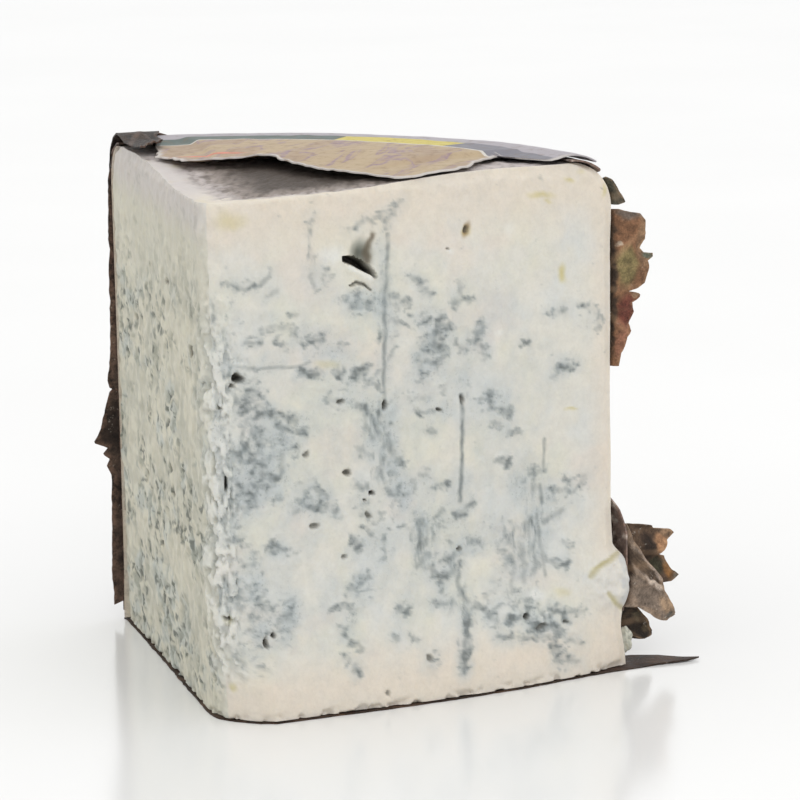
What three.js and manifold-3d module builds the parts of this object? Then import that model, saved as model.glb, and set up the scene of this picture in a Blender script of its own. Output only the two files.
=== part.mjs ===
// A wedge of blue cheese, cut from a wheel that is wrapped in leaves and has a paper label on its top.
// Millimetres, +Z up. The tip of the wedge points to -Y and its leaf-covered rim to +Y.
// The origin is on the surface that the wedge stands on, under its middle.
import * as THREE from 'three';
import Module from 'manifold-3d';
import { ImprovedNoise } from 'three/addons/math/ImprovedNoise.js';
import { mergeVertices } from 'three/addons/utils/BufferGeometryUtils.js';

// Driving dimensions of the wheel and of the cut.
const RIM_RADIUS = 88;
const HALF_ANGLE = THREE.MathUtils.degToRad(38.4);
const APEX_Y = -46;
const BASE_Z = 0.62;
const SHOULDER_Z = 91.7;
const SHOULDER_RADIUS = 9;
const TIP_TOP_Z = 99.2;
const CROWN_RISE = 1.8;
const WAIST = 0.6;
const TIP_RADIUS = 4.5;
const TIP_RADIUS_AT_BASE = 9;

// Leaves, label and the free space kept between pieces that touch.
const LEAF = 0.45;
const BASE_LEAF = 0.3;
const LABEL = 0.4;
const CLEARANCE = 0.36;
const LAYER = 0.95;
const CRINKLE = 0.3;

// Distances round the rim are measured from its middle, and up the wall, over the shoulder and inwards
// on the top from the base. These mark where the stretches of that path end.
const HALF_RIM = RIM_RADIUS * HALF_ANGLE;
const CROWN_RADIUS = RIM_RADIUS - SHOULDER_RADIUS;
const CROWN_START = SHOULDER_Z + SHOULDER_RADIUS * Math.PI / 2;
const SHOULDER_STEPS = 5;

// Outward direction of each cut face: 1 is the face to +X, -1 the one to -X.
const faceNormal = (side) => new THREE.Vector2(side * Math.cos(HALF_ANGLE), -Math.sin(HALF_ANGLE));
const faceAlong = (side) => new THREE.Vector2(side * Math.sin(HALF_ANGLE), Math.cos(HALF_ANGLE));

const { lerp, smoothstep } = THREE.MathUtils;
const perlin = new ImprovedNoise();
const noise = (x, y, seed) => perlin.noise(x, y, seed + 0.37);

// A soft bump of height 1 at its centre that ends at the given half widths.
function bump(x, y, halfX, halfY) {
  return 1 - smoothstep(Math.hypot(x / halfX, y / halfY), 0.35, 1);
}

// Value at x of a line through points that are sorted by their first number.
function along(points, x) {
  const next = points.findIndex(([at]) => at >= x);
  if (next === 0) return points[0][1];
  if (next < 0) return points[points.length - 1][1];
  const [x0, y0] = points[next - 1];
  const [x1, y1] = points[next];
  return lerp(y0, y1, (x - x0) / (x1 - x0));
}

// The wheel's outside.

function wallRadius(z) {
  const waist = WAIST * Math.sin(Math.PI * THREE.MathUtils.clamp(z / SHOULDER_Z, 0, 1));
  const foot = 1.2 * (1 - smoothstep(z, 0, 14));
  return RIM_RADIUS - waist + foot;
}

function radiusAt(z) {
  if (z <= SHOULDER_Z) return wallRadius(z);
  const rise = Math.min(z - SHOULDER_Z, SHOULDER_RADIUS);
  return CROWN_RADIUS + Math.sqrt(SHOULDER_RADIUS ** 2 - rise ** 2);
}

function topHeight(r) {
  const crown = CROWN_RISE * smoothstep(r, 22, 60);
  const droop = (TIP_TOP_Z + CROWN_RISE - SHOULDER_Z - SHOULDER_RADIUS) * smoothstep(r, 60, CROWN_RADIUS);
  return TIP_TOP_Z + crown - droop;
}

// Radius and height of the outside, and its outward direction, at a distance up from the base.
function profile(up) {
  if (up < SHOULDER_Z) return { r: wallRadius(up), z: up, nr: 1, nz: 0 };
  if (up < CROWN_START) {
    const turn = (up - SHOULDER_Z) / SHOULDER_RADIUS;
    const nr = Math.cos(turn);
    const nz = Math.sin(turn);
    return { r: CROWN_RADIUS + SHOULDER_RADIUS * nr, z: SHOULDER_Z + SHOULDER_RADIUS * nz, nr, nz };
  }
  const r = CROWN_RADIUS - (up - CROWN_START);
  return { r, z: topHeight(r), nr: 0, nz: 1 };
}

// A point at some height off the outside, at a distance round the rim and a distance up from the base.
function onWheel(round, up, off) {
  const { r, z, nr, nz } = profile(up);
  const angle = round / RIM_RADIUS;
  const reach = r + nr * off;
  return new THREE.Vector3(reach * Math.sin(angle), reach * Math.cos(angle), z + nz * off);
}

// The same for a point of the top that is given by its place in plan.
function wheelPlace(x, y) {
  const r = Math.hypot(x, y);
  const round = Math.atan2(x, y) * RIM_RADIUS;
  if (r <= CROWN_RADIUS) return { round, up: CROWN_START + CROWN_RADIUS - r };
  return { round, up: SHOULDER_Z + SHOULDER_RADIUS * Math.acos((r - CROWN_RADIUS) / SHOULDER_RADIUS) };
}

// Meshes.

function geometryOf(points, triangles) {
  const geometry = new THREE.BufferGeometry();
  const numbers = points.flatMap((point) => point.toArray());
  geometry.setAttribute('position', new THREE.Float32BufferAttribute(numbers, 3));
  geometry.setIndex(triangles);
  geometry.computeVertexNormals();
  return geometry;
}

// Joins two equal faces into one thin closed solid. Both are split into the same triangles.
function thinSolid(outer, inner, triangles, border) {
  const count = outer.length;
  const faces = [...triangles];
  for (let i = 0; i < triangles.length; i += 3) {
    faces.push(triangles[i] + count, triangles[i + 2] + count, triangles[i + 1] + count);
  }
  border.forEach((a, i) => {
    const b = border[(i + 1) % border.length];
    faces.push(b, a, a + count, b, a + count, b + count);
  });
  return geometryOf([...outer, ...inner], faces);
}

// A thin solid on a grid. pointAt(i, j, off) places grid point i, j; j grows to the left of i.
function gridSheet(columns, rows, thickness, pointAt) {
  const index = (i, j) => j * (columns + 1) + i;
  const outer = [];
  const inner = [];
  const triangles = [];
  for (let j = 0; j <= rows; j++) {
    for (let i = 0; i <= columns; i++) {
      inner.push(pointAt(i, j, 0));
      outer.push(pointAt(i, j, thickness));
      if (i === columns || j === rows) continue;
      triangles.push(index(i, j), index(i + 1, j), index(i + 1, j + 1));
      triangles.push(index(i, j), index(i + 1, j + 1), index(i, j + 1));
    }
  }
  const border = [];
  for (let i = 0; i < columns; i++) border.push(index(i, 0));
  for (let j = 0; j < rows; j++) border.push(index(columns, j));
  for (let i = columns; i > 0; i--) border.push(index(i, rows));
  for (let j = rows; j > 0; j--) border.push(index(0, j));
  return thinSolid(outer, inner, triangles, border);
}

// A thin solid of rings round a centre. pointAt(spoke, share, off) places a point at that share of the
// way from the centre to the edge; the shares end at 1.
function discSheet(spokes, shares, thickness, pointAt) {
  const outer = [pointAt(0, 0, thickness)];
  const inner = [pointAt(0, 0, 0)];
  const triangles = [];
  const index = (ring, spoke) => 1 + ring * spokes + (spoke % spokes);
  shares.forEach((share, ring) => {
    for (let spoke = 0; spoke < spokes; spoke++) {
      outer.push(pointAt(spoke, share, thickness));
      inner.push(pointAt(spoke, share, 0));
      if (ring === 0) {
        triangles.push(0, index(0, spoke), index(0, spoke + 1));
        continue;
      }
      triangles.push(index(ring - 1, spoke), index(ring, spoke), index(ring, spoke + 1));
      triangles.push(index(ring - 1, spoke), index(ring, spoke + 1), index(ring - 1, spoke + 1));
    }
  });
  const last = shares.length - 1;
  const border = Array.from({ length: spokes }, (_, spoke) => index(last, spoke));
  return thinSolid(outer, inner, triangles, border);
}

// A closed outline with points added on its longer sides. Its corners stay.
function subdivided(corners, step) {
  return corners.flatMap((corner, i) => {
    const next = corners[(i + 1) % corners.length];
    const pieces = Math.ceil(corner.distanceTo(next) / step);
    return Array.from({ length: pieces }, (_, k) => corner.clone().lerp(next, k / pieces));
  });
}

// The paste: cut faces with the relief of a crumbly cut, a rounded tip, and eyes that open on a face.

const TIP_STEPS = 6;
const FACE_STEPS = 20;
const RIM_STEPS = 26;
const WALL_ROWS = 16;
const CAP_SHARES = [0.8, 0.6, 0.4, 0.2];
const CAP_CENTRE = new THREE.Vector2(0, 52);

// How far the foot of the cut faces has spread, by the distance from the apex: positive distances are
// on the face to +X, negative ones on the other.
const FOOT = [[-88, -0.8], [-60, -1.2], [-8, -1.5], [4, -0.4], [8, 1.2], [11, 2.8], [22, 3.6], [34, 4.8],
  [50, 5.5], [64, 5.4], [76, 4.4], [88, 2.2]];
const FOOT_HEIGHT = 32;

// Height of the relief on a cut face at a distance from the apex: wavy on the face to +X, streaked
// upwards on the other, crumbly along the tip, with a lump pushed out low beside the rim.
function relief(side, distance, z) {
  const foot = along(FOOT, side * distance) * (1 - smoothstep(z, 0, FOOT_HEIGHT));
  const inside = smoothstep(z, 0, 4) * (1 - smoothstep(z, 94, 100));
  const waves = 0.45 * noise(side * distance / 17, z / 15, 1) + 0.3 * noise(side * distance / 6, z / 7, 2);
  const streaks = side < 0 ? 0.35 * noise(distance / 3.5, z / 26, 3) : 0;
  const crumbs = 0.8 * noise(side * distance / 3, z / 4, 4) * (1 - smoothstep(distance, 4, 14));
  const lump = side > 0 ? 1.3 * bump(distance - 86, z - 17.5, 7, 7) : 0;
  return foot + inside * (waves + streaks + crumbs) + lump;
}

// One level of the paste's outline, from the middle of the rim over the +X corner to the tip and back.
function pasteLevel(radius, tipRadius, z) {
  const level = [];
  const tipCentre = new THREE.Vector2(0, tipRadius / Math.sin(HALF_ANGLE));
  const tangent = tipRadius / Math.tan(HALF_ANGLE);
  const addRim = (from, to) => {
    for (let i = 0; i < RIM_STEPS / 2; i++) {
      const angle = lerp(from, to, i / (RIM_STEPS / 2));
      level.push(new THREE.Vector2(Math.sin(angle), Math.cos(angle)).multiplyScalar(radius));
    }
  };
  const addFace = (side, from, to) => {
    for (let i = 0; i < FACE_STEPS; i++) {
      const distance = lerp(from, to, i / FACE_STEPS);
      const point = faceAlong(side).multiplyScalar(distance);
      level.push(point.addScaledVector(faceNormal(side), relief(side, distance, z)));
    }
  };
  addRim(0, HALF_ANGLE);
  addFace(1, radius, tangent);
  for (let i = 0; i < TIP_STEPS; i++) {
    const across = 1 - 2 * i / TIP_STEPS;
    const turn = across * (Math.PI / 2 - HALF_ANGLE);
    const out = new THREE.Vector2(Math.sin(turn), -Math.cos(turn));
    const rough = relief(Math.sign(across) || 1, tangent * Math.abs(across), z);
    level.push(tipCentre.clone().addScaledVector(out, tipRadius + rough));
  }
  addFace(-1, tangent, radius);
  addRim(-HALF_ANGLE, 0);
  return level;
}

function pasteRows() {
  const rows = [];
  for (let j = 0; j <= WALL_ROWS; j++) rows.push(lerp(BASE_Z, SHOULDER_Z, j / WALL_ROWS));
  for (let j = 1; j <= SHOULDER_STEPS; j++) {
    rows.push(SHOULDER_Z + SHOULDER_RADIUS * Math.sin(j / SHOULDER_STEPS * Math.PI / 2));
  }
  return rows;
}

// A closed solid of equal rings of points, from a bottom point up to a top point.
function ringSolid(bottomPoint, rings, topPoint) {
  const count = rings[0].length;
  const top = 1 + rings.length * count;
  const index = (ring, i) => 1 + ring * count + (i % count);
  const triangles = [];
  for (let i = 0; i < count; i++) {
    triangles.push(0, index(0, i), index(0, i + 1));
    for (let ring = 0; ring + 1 < rings.length; ring++) {
      triangles.push(index(ring, i), index(ring + 1, i), index(ring + 1, i + 1));
      triangles.push(index(ring, i), index(ring + 1, i + 1), index(ring, i + 1));
    }
    triangles.push(top, index(rings.length - 1, i + 1), index(rings.length - 1, i));
  }
  return geometryOf([bottomPoint, ...rings.flat(), topPoint], triangles);
}

function pasteBody() {
  const crown = SHOULDER_Z + SHOULDER_RADIUS;
  const levels = pasteRows().map((z) => {
    const tipRadius = lerp(TIP_RADIUS_AT_BASE, TIP_RADIUS, smoothstep(z, 0, 22));
    const topShare = smoothstep(z, 60, crown);
    return pasteLevel(radiusAt(z), tipRadius, z).map((p) => {
      const drop = crown - topHeight(Math.min(p.length(), CROWN_RADIUS));
      return new THREE.Vector3(p.x, p.y, z - drop * topShare);
    });
  });
  const basePoint = (p) => new THREE.Vector3(p.x, p.y, BASE_Z);
  const crownPoint = (p) => new THREE.Vector3(p.x, p.y, topHeight(Math.hypot(p.x, p.y)));
  const ringOf = (level, share, place) => level.map((p) => place(CAP_CENTRE.clone().lerp(p, share)));
  const cap = (level, place) => CAP_SHARES.map((share) => ringOf(level, share, place));
  const baseRings = cap(levels[0], basePoint).reverse();
  const crownRings = cap(levels[levels.length - 1], crownPoint);
  return ringSolid(basePoint(CAP_CENTRE), [...baseRings, ...levels, ...crownRings], crownPoint(CAP_CENTRE));
}

// Eyes and pits that open on the cut faces. at is the distance from the apex and the height; half is
// the half width, the depth and the half height.
const EYES = [
  { side: 1, at: [34.2, 88.4], half: [2.4, 3.4, 3.2], tilt: 0.2 },
  { side: 1, at: [33, 85.6], half: [3.6, 4.6, 1.2], tilt: -0.6 },
  { side: 1, at: [33.2, 81.4], half: [2.3, 2.2, 0.8], tilt: -0.3 },
  { side: 1, at: [7, 66.5], half: [1.7, 2.6, 1.5], tilt: 0.3 },
  { side: 1, at: [7.4, 46], half: [1.2, 2.4, 2.1], tilt: 0.2 },
  { side: 1, at: [34.5, 41.5], half: [1.1, 1.8, 1], tilt: 0 },
  { side: 1, at: [12.5, 16.6], half: [1.5, 2.2, 1.1], tilt: 0.5 },
  { side: -1, at: [24, 50.5], half: [1.1, 2, 2.4], tilt: 0.1 },
  { side: -1, at: [41, 64], half: [1.2, 2, 2.6], tilt: -0.1 },
  { side: -1, at: [52, 33], half: [1.3, 2, 2.2], tilt: 0.15 },
];

function eyeBody({ side, at: [distance, z], half, tilt }) {
  const geometry = new THREE.IcosahedronGeometry(1, 1);
  const place = faceAlong(side).multiplyScalar(distance);
  const inwards = faceNormal(side).negate();
  geometry.scale(...half);
  geometry.rotateY(tilt);
  geometry.rotateZ(Math.atan2(-inwards.x, inwards.y));
  geometry.translate(place.x, place.y, z);
  return geometry;
}

const wasm = await Module();
wasm.setup();

function manifoldOf(geometry) {
  const bare = new THREE.BufferGeometry();
  bare.setAttribute('position', geometry.getAttribute('position'));
  bare.setIndex(geometry.getIndex());
  const merged = mergeVertices(bare, 1e-4);
  return new wasm.Manifold(new wasm.Mesh({
    numProp: 3,
    vertProperties: new Float32Array(merged.getAttribute('position').array),
    triVerts: new Uint32Array(merged.getIndex().array),
  }));
}

function pasteGeometry() {
  let solid = manifoldOf(pasteBody());
  for (const eye of EYES) solid = solid.subtract(manifoldOf(eyeBody(eye)));
  const mesh = solid.getMesh();
  const geometry = new THREE.BufferGeometry();
  geometry.setAttribute('position', new THREE.BufferAttribute(mesh.vertProperties, 3));
  geometry.setIndex(new THREE.BufferAttribute(mesh.triVerts, 1));
  geometry.computeVertexNormals();
  return geometry;
}

// Leaves lie on the wheel in levels. Level 0 is next to the rim, and all levels follow one crinkle,
// which is flatter on the top and at the cuts. Low beside the +X cut the whole pile stands off the rim.
function pileHeight(round, up, level) {
  const pressed = 1 - 0.85 * smoothstep(Math.abs(round), HALF_RIM - 9, HALF_RIM - 1);
  const flat = pressed * (1 - 0.6 * smoothstep(up, SHOULDER_Z, CROWN_START));
  const crinkle = CRINKLE * flat * (1 + noise(round / 13, up / 12, 5));
  const flare = 2.2 * smoothstep(round, HALF_RIM - 14, HALF_RIM) * bump(0, up - 21, 1, 14);
  return CLEARANCE + crinkle + flare + LAYER * level;
}

// Share of a level by which the +X leaf, and what lies on it, climbs over the -X leaf. They overlap on
// the wall and part below the shoulder.
const climb = (round, up) => (1 - smoothstep(round, 12, 26)) * (1 - smoothstep(up, 78, 91));
const part = (up) => smoothstep(up, 58, 76);

// The label lies on the paste near the middle of the wheel and, at the cuts, nearly out to the shoulder.
// Past that it lies on the wrapping leaves, whose inner edges are a little further out.
const WRAP_EDGE_RADIUS = 78.5;
const wrapEnds = (round) => smoothstep(Math.abs(round), 30, 42);

function labelLevel(round, r) {
  const ends = smoothstep(Math.abs(round), 34, 46);
  return smoothstep(r, lerp(40, 72, ends), lerp(54, 79, ends));
}

// A leaf that goes up the wall, over the shoulder and inwards on the top.
function wrapLeaf({ columns, wallRows, topRows, start, left, right, innerRadius, level }) {
  const rowUp = (j, edge) => {
    if (j < wallRows) return lerp(start(edge), SHOULDER_Z, j / wallRows);
    const over = j - wallRows;
    if (over < SHOULDER_STEPS) return lerp(SHOULDER_Z, CROWN_START, over / SHOULDER_STEPS);
    return CROWN_START + (CROWN_RADIUS - innerRadius(edge)) * (over - SHOULDER_STEPS) / topRows;
  };
  return gridSheet(columns, wallRows + SHOULDER_STEPS + topRows, LEAF, (i, j, off) => {
    const share = i / columns;
    const up = rowUp(j, lerp(right(CROWN_START), left(CROWN_START), share));
    const round = lerp(right(up), left(up), share);
    return onWheel(round, up, pileHeight(round, up, level(round, up)) + off);
  });
}

// Length that the leaves stand past the -X cut at each height: a toothed edge with one long tooth.
const OVERHANG = [[3, 1.8], [12, 2.2], [22, 1.9], [31, 1.7], [33, 2.6], [34.4, 1.9], [35.5, 3.3],
  [36.8, 2.3], [38, 5.2], [41, 3.7], [46, 2.4], [48.5, 1.5], [51, 2.1], [56, 1.4], [67, 1.1], [92, 0.6],
  [96, 0]];
const EDGE_LEAF_TOP = 49;

const leftWrap = () => wrapLeaf({
  columns: 10,
  wallRows: 10,
  topRows: 3,
  start: () => 2,
  left: (up) => -HALF_RIM - (up > EDGE_LEAF_TOP ? along(OVERHANG, up) : 0),
  right: (up) => lerp(8 + 8 * noise(up / 14, 3, 6), -4.8, part(up)),
  innerRadius: (round) => lerp(59 + 5 * noise(round / 9, 1, 7) - 8 * bump(round + 15, 0, 12, 1),
    WRAP_EDGE_RADIUS, wrapEnds(round)),
  level: () => 0,
});

const rightWrap = () => wrapLeaf({
  columns: 10,
  wallRows: 10,
  topRows: 3,
  start: (round) => 2 + 9 * smoothstep(round, HALF_RIM - 16, HALF_RIM - 2),
  left: (up) => lerp(-9 + 9 * noise(up / 13, 5, 8), -4, part(up)),
  right: (up) => HALF_RIM - 7 * (smoothstep(up, 31, 37) - smoothstep(up, 98, 103)),
  innerRadius: (round) => lerp(60 + 8 * noise(round / 12, 2, 9), WRAP_EDGE_RADIUS, wrapEnds(round)),
  level: climb,
});

// The toothed margin of a leaf that shows past the -X cut. It spreads out behind the cut.
function edgeLeaf() {
  const heights = OVERHANG.filter(([z]) => z < EDGE_LEAF_TOP);
  const columns = 5;
  const rows = heights.length - 1;
  return gridSheet(columns, rows, LEAF, (i, j, off) => {
    const [margin, overhang] = heights[j];
    const spread = lerp(margin, lerp(7, 57, j / rows), 1 - i / columns);
    const inner = -HALF_RIM + 14 + 8 * noise(spread / 8, 1, 10) - 7 * Math.abs(2 * j / rows - 1) ** 3;
    const round = lerp(inner, -HALF_RIM - overhang, i / columns);
    return onWheel(round, spread, pileHeight(round, spread, 1) + off);
  });
}

// A dark leaf folded over the shoulder at the -X cut: lobed down the wall, torn on the top.
function cornerLeaf() {
  const columns = 6;
  const lowest = 72;
  const innermost = 129;
  const ups = [lowest, 80, 87, 92, 96, 100, 104, CROWN_START, 112, 117, 123, innermost];
  return gridSheet(columns, ups.length - 1, LEAF, (i, j, off) => {
    const share = i / columns;
    const lobes = 9 * Math.abs(Math.sin(share * 7)) * (1 - smoothstep(ups[j], lowest, 92));
    const torn = 7 * (1 - share) * smoothstep(ups[j], CROWN_START, innermost);
    const up = ups[j] + lobes - torn;
    const width = lerp(21, 8.5, smoothstep(up, 88, 108));
    const round = lerp(-HALF_RIM + width + 2 * noise(up / 5, 2, 12), -HALF_RIM, share);
    const onLabel = labelLevel(round, CROWN_RADIUS - (up - CROWN_START));
    const level = 1 + (up < CROWN_START ? smoothstep(up, 86, 98) : onLabel);
    return onWheel(round, up, pileHeight(round, up, level) + off);
  });
}

// Reach of a leaf's outline by the angle from its tip, as a share of its size.
function palmate(turn) {
  const lobes = [[0, 1], [52, 0.86], [-52, 0.9], [104, 0.55], [-106, 0.6]];
  const reach = lobes.map(([at, length]) => {
    const away = THREE.MathUtils.euclideanModulo(turn - at + 180, 360) - 180;
    return length * Math.exp(-((away / 20) ** 2));
  });
  return 0.46 + 0.54 * Math.max(...reach);
}

const ragged = (seed) => (turn) => 0.85 + 0.5 * noise(2 * Math.cos(turn * Math.PI / 180),
  2 * Math.sin(turn * Math.PI / 180), seed);

// A leaf flat on the wall, with its edge curled off it. tilt turns its tip from upright.
function wallLeaf({ round, up, size, tilt, outline, spokes, shares, level, curl }) {
  return discSheet(spokes, shares, LEAF, (spoke, share, off) => {
    const turn = 360 * spoke / spokes;
    const angle = THREE.MathUtils.degToRad(turn + tilt + 90);
    const reach = size * outline(turn) * share;
    const atUp = THREE.MathUtils.clamp(up + reach * Math.sin(angle), 3, SHOULDER_Z - 2);
    const atRound = round - reach * Math.cos(angle);
    const raised = curl * share ** 4 * (1 + 0.8 * noise(spoke / 3, 1, 13));
    const height = pileHeight(atRound, atUp, level + climb(atRound, atUp));
    return onWheel(atRound, atUp, height + raised + off);
  });
}

const WALL_LEAVES = {
  wrap_leaf_middle: {
    round: -3, up: 42, size: 42, tilt: -14, outline: palmate, spokes: 40, shares: [0.3, 0.6, 0.85, 1],
    level: 1, curl: 0.5,
  },
  torn_leaf_left: {
    round: -38, up: 21, size: 17, tilt: 25, outline: ragged(14), spokes: 22, shares: [0.5, 1],
    level: 2.6, curl: 3,
  },
  torn_leaf_right: {
    round: 24, up: 62, size: 19, tilt: -40, outline: ragged(15), spokes: 22, shares: [0.5, 1],
    level: 2.6, curl: 2.4,
  },
};

// Flaps: torn leaves that lie on the wrap beside the +X cut and then turn outwards.

const ROOT_LENGTH = 9;
const BEND_RADIUS = 2.4;
const FLAP_STEPS = 6;

// root is the stretch of heights where the flap leaves the rim. tips are the points of its free edge,
// each a reach off the rim and a height, from the top down. back is how far its bend is from the cut, and
// drop is how many levels it comes down past the end of the wrap.
const FLAPS = {
  flap_upper: {
    root: [90.4, 60.2], back: 0.4, level: 1, drop: 1, wave: 0.5,
    tips: [[1.2, 90.9], [3.7, 90.2], [6.3, 89.5], [7, 88.3], [6.7, 86.5], [7.4, 84.6], [6.3, 82.8],
      [7.1, 81.8], [9, 81.6], [7.6, 80.4], [7.9, 77.2], [7.4, 75.8], [3.6, 74.8], [6, 73.7], [4.3, 72.4],
      [4.8, 70.4], [3.6, 68.4], [3.9, 66.7], [2.6, 64.8], [2.7, 63.6], [1.4, 59.8]],
  },
  flap_notch: {
    root: [94.5, 92.2], back: 0.6, level: 1, drop: 1, wave: 0,
    tips: [[0.5, 97], [1.3, 96], [1.8, 93.7], [3.1, 91.9], [1.4, 91.7]],
  },
  flap_tan: {
    root: [27.2, 14.5], back: 4.2, level: 2, drop: 0, wave: 0.7,
    tips: [[2.3, 27.2], [8, 26.1], [8.7, 25.3], [12.4, 24.6], [12.9, 24], [10.7, 22.9], [10.4, 20.8],
      [9.4, 20], [10.7, 19.4], [12, 16.9], [13.7, 15.4], [12.1, 14.3], [2.2, 14]],
  },
  flap_middle: {
    root: [27, 11.6], back: 0.5, level: 1, drop: 0, wave: 0.6,
    tips: [[0.5, 28], [1.4, 24.6], [7.3, 16.5], [8.1, 14.8], [10.8, 11], [12, 9], [11.9, 8.2], [10.5, 7.3],
      [9.5, 8.3], [5.9, 10.6], [3.6, 11], [1.6, 11.2]],
  },
  flap_dark: {
    root: [9.8, 5.6], back: 2.6, level: 1, drop: 0, wave: 0.3,
    tips: [[0.8, 11.5], [2.3, 11.8], [4.2, 10.7], [7.3, 7.5], [8.2, 5.1], [7.8, 4.3], [5.7, 3.7],
      [2.4, 5.2], [0.9, 5.8]],
  },
};

// Plan of a flap at a length from its root: along the rim, round the bend, then straight out.
// Gives the place round the rim, the reach off it and the direction of the flap's outer face.
function bend(length, back) {
  const start = HALF_RIM - back - BEND_RADIUS;
  const turn = THREE.MathUtils.clamp((length - ROOT_LENGTH) / BEND_RADIUS, 0, Math.PI / 2);
  const straight = Math.max(length - ROOT_LENGTH - BEND_RADIUS * Math.PI / 2, 0);
  return {
    round: start + Math.min(length - ROOT_LENGTH, 0) + BEND_RADIUS * Math.sin(turn),
    reach: BEND_RADIUS * (1 - Math.cos(turn)) + straight,
    faceRound: -Math.sin(turn),
    faceOut: Math.cos(turn),
  };
}

function lengthFor(reach) {
  if (reach < BEND_RADIUS) return ROOT_LENGTH + BEND_RADIUS * Math.acos(1 - reach / BEND_RADIUS);
  return ROOT_LENGTH + BEND_RADIUS * Math.PI / 2 + reach - BEND_RADIUS;
}

function flap({ root, back, level, drop, wave, tips }) {
  const rows = tips.length - 1;
  const wrapEnd = HALF_RIM - 6.6;
  return gridSheet(rows, FLAP_STEPS, LEAF, (i, j, off) => {
    const down = rows - i;
    const [tipReach, tipZ] = tips[down];
    const share = j / FLAP_STEPS;
    const rootZ = lerp(root[0], root[1], down / rows);
    const length = lengthFor(tipReach) * share;
    const z = lerp(rootZ, tipZ, smoothstep(share, 0.3, 1));
    const { round, reach, faceRound, faceOut } = bend(length, back);
    const ripple = wave * Math.sin(z * 0.9 + 2 * level) * smoothstep(reach, 1, 6);
    const face = ripple + off;
    const lies = level - drop * smoothstep(round, wrapEnd, wrapEnd + 3.4);
    const out = pileHeight(round, z, lies) + reach + face * faceOut;
    return onWheel(round + face * faceRound, z, out);
  });
}

// The label: a sheet of paper stuck to the top, torn along its front, where it has come loose.

const LABEL_RADIUS = 84;
const LABEL_START = 0.1 - HALF_ANGLE;
const LABEL_CENTRE = new THREE.Vector3(0, 68, 0);
const LABEL_SHARES = [0.3, 0.55, 0.75, 0.88, 0.95, 1];
const LABEL_SLACK = 0.12;

// Points of the torn edge in plan, from the -X side to the +X cut, with the paper's lift there.
const TORN_EDGE = [[-30, 42.5, 0], [-22, 36, 0.1], [-15, 40, 0.35], [-8.5, 43, 0.9], [-2, 40, 1],
  [3, 37.5, 0.7], [12.5, 35, 0.3], [24.5, 33, 0], [27.7, 35.3, 0], [34.3, 45, 0], [33.2, 56.3, 0],
  [33.6, 62.5, 0], [38, 60.5, 0], [46.2, 58.7, 0]];

function labelOutline() {
  const arcSteps = 9;
  const arc = Array.from({ length: arcSteps + 1 }, (_, i) => {
    const angle = lerp(HALF_ANGLE - 0.01, LABEL_START, i / arcSteps);
    return new THREE.Vector3(LABEL_RADIUS * Math.sin(angle), LABEL_RADIUS * Math.cos(angle), 0);
  });
  return subdivided([...TORN_EDGE.map((point) => new THREE.Vector3(...point)), ...arc], 7);
}

function labelSheet() {
  const outline = labelOutline();
  return discSheet(outline.length, LABEL_SHARES, LABEL, (spoke, share, off) => {
    const place = LABEL_CENTRE.clone().lerp(outline[spoke], share);
    const { round, up } = wheelPlace(place.x, place.y);
    const lift = LABEL_SLACK + outline[spoke].z * smoothstep(share, 0.5, 1);
    const level = labelLevel(round, Math.hypot(place.x, place.y));
    return onWheel(round, up, pileHeight(round, up, level) + lift + off);
  });
}

// The leaf under the wedge: flat where the wedge stands on it, with a long point that sticks out.

const BASE_PROUD = 0.4;
const BASE_CENTRE = new THREE.Vector3(0, 50, 0);
const BASE_SHARES = [0.5, 0.8, 1];
const BASE_POINT = [[50, 55.4], [53.8, 61.2], [58.1, 66.6], [62.1, 71.4], [64.6, 73.8], [67.1, 76.2],
  [68.3, 78.7], [65.1, 77.5], [60.2, 77.6], [54.8, 76.2]];

function baseOutline() {
  const tipCentre = new THREE.Vector2(0, TIP_RADIUS_AT_BASE / Math.sin(HALF_ANGLE));
  const tipTurn = Math.PI / 2 - HALF_ANGLE;
  const tangent = TIP_RADIUS_AT_BASE / Math.tan(HALF_ANGLE);
  const tip = [-1, -0.5, 0, 0.5, 1].map((share) => {
    const out = new THREE.Vector2(Math.sin(share * tipTurn), -Math.cos(share * tipTurn));
    const spread = along(FOOT, share * tangent) + BASE_PROUD;
    return tipCentre.clone().addScaledVector(out, TIP_RADIUS_AT_BASE + spread);
  });
  const proudOf = (side, distance) => faceAlong(side).multiplyScalar(distance)
    .addScaledVector(faceNormal(side), along(FOOT, side * distance) + BASE_PROUD);
  const right = [22, 34, 50, 64].map((distance) => proudOf(1, distance));
  const left = [RIM_RADIUS, 60, 30].map((distance) => proudOf(-1, distance));
  const point = BASE_POINT.map(([x, y]) => new THREE.Vector2(x, y));
  const arcSteps = 14;
  const arc = Array.from({ length: arcSteps }, (_, i) => {
    const angle = lerp(HALF_ANGLE - 0.05, -HALF_ANGLE, i / (arcSteps - 1));
    const reach = wallRadius(0) + 0.6 + noise(angle * 8, 1, 16);
    return new THREE.Vector2(Math.sin(angle), Math.cos(angle)).multiplyScalar(reach);
  });
  const corners = [...tip, ...right, ...point, ...arc, ...left];
  return subdivided(corners.map(({ x, y }) => new THREE.Vector3(x, y, 0)), 9);
}

function baseSheet() {
  const outline = baseOutline();
  return discSheet(outline.length, BASE_SHARES, BASE_LEAF, (spoke, share, off) => {
    const place = BASE_CENTRE.clone().lerp(outline[spoke], share);
    const rise = 0.02 * Math.max(Math.hypot(place.x, place.y) - RIM_RADIUS - 4, 0);
    return new THREE.Vector3(place.x, place.y, rise + off);
  });
}

// The whole wedge.

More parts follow.
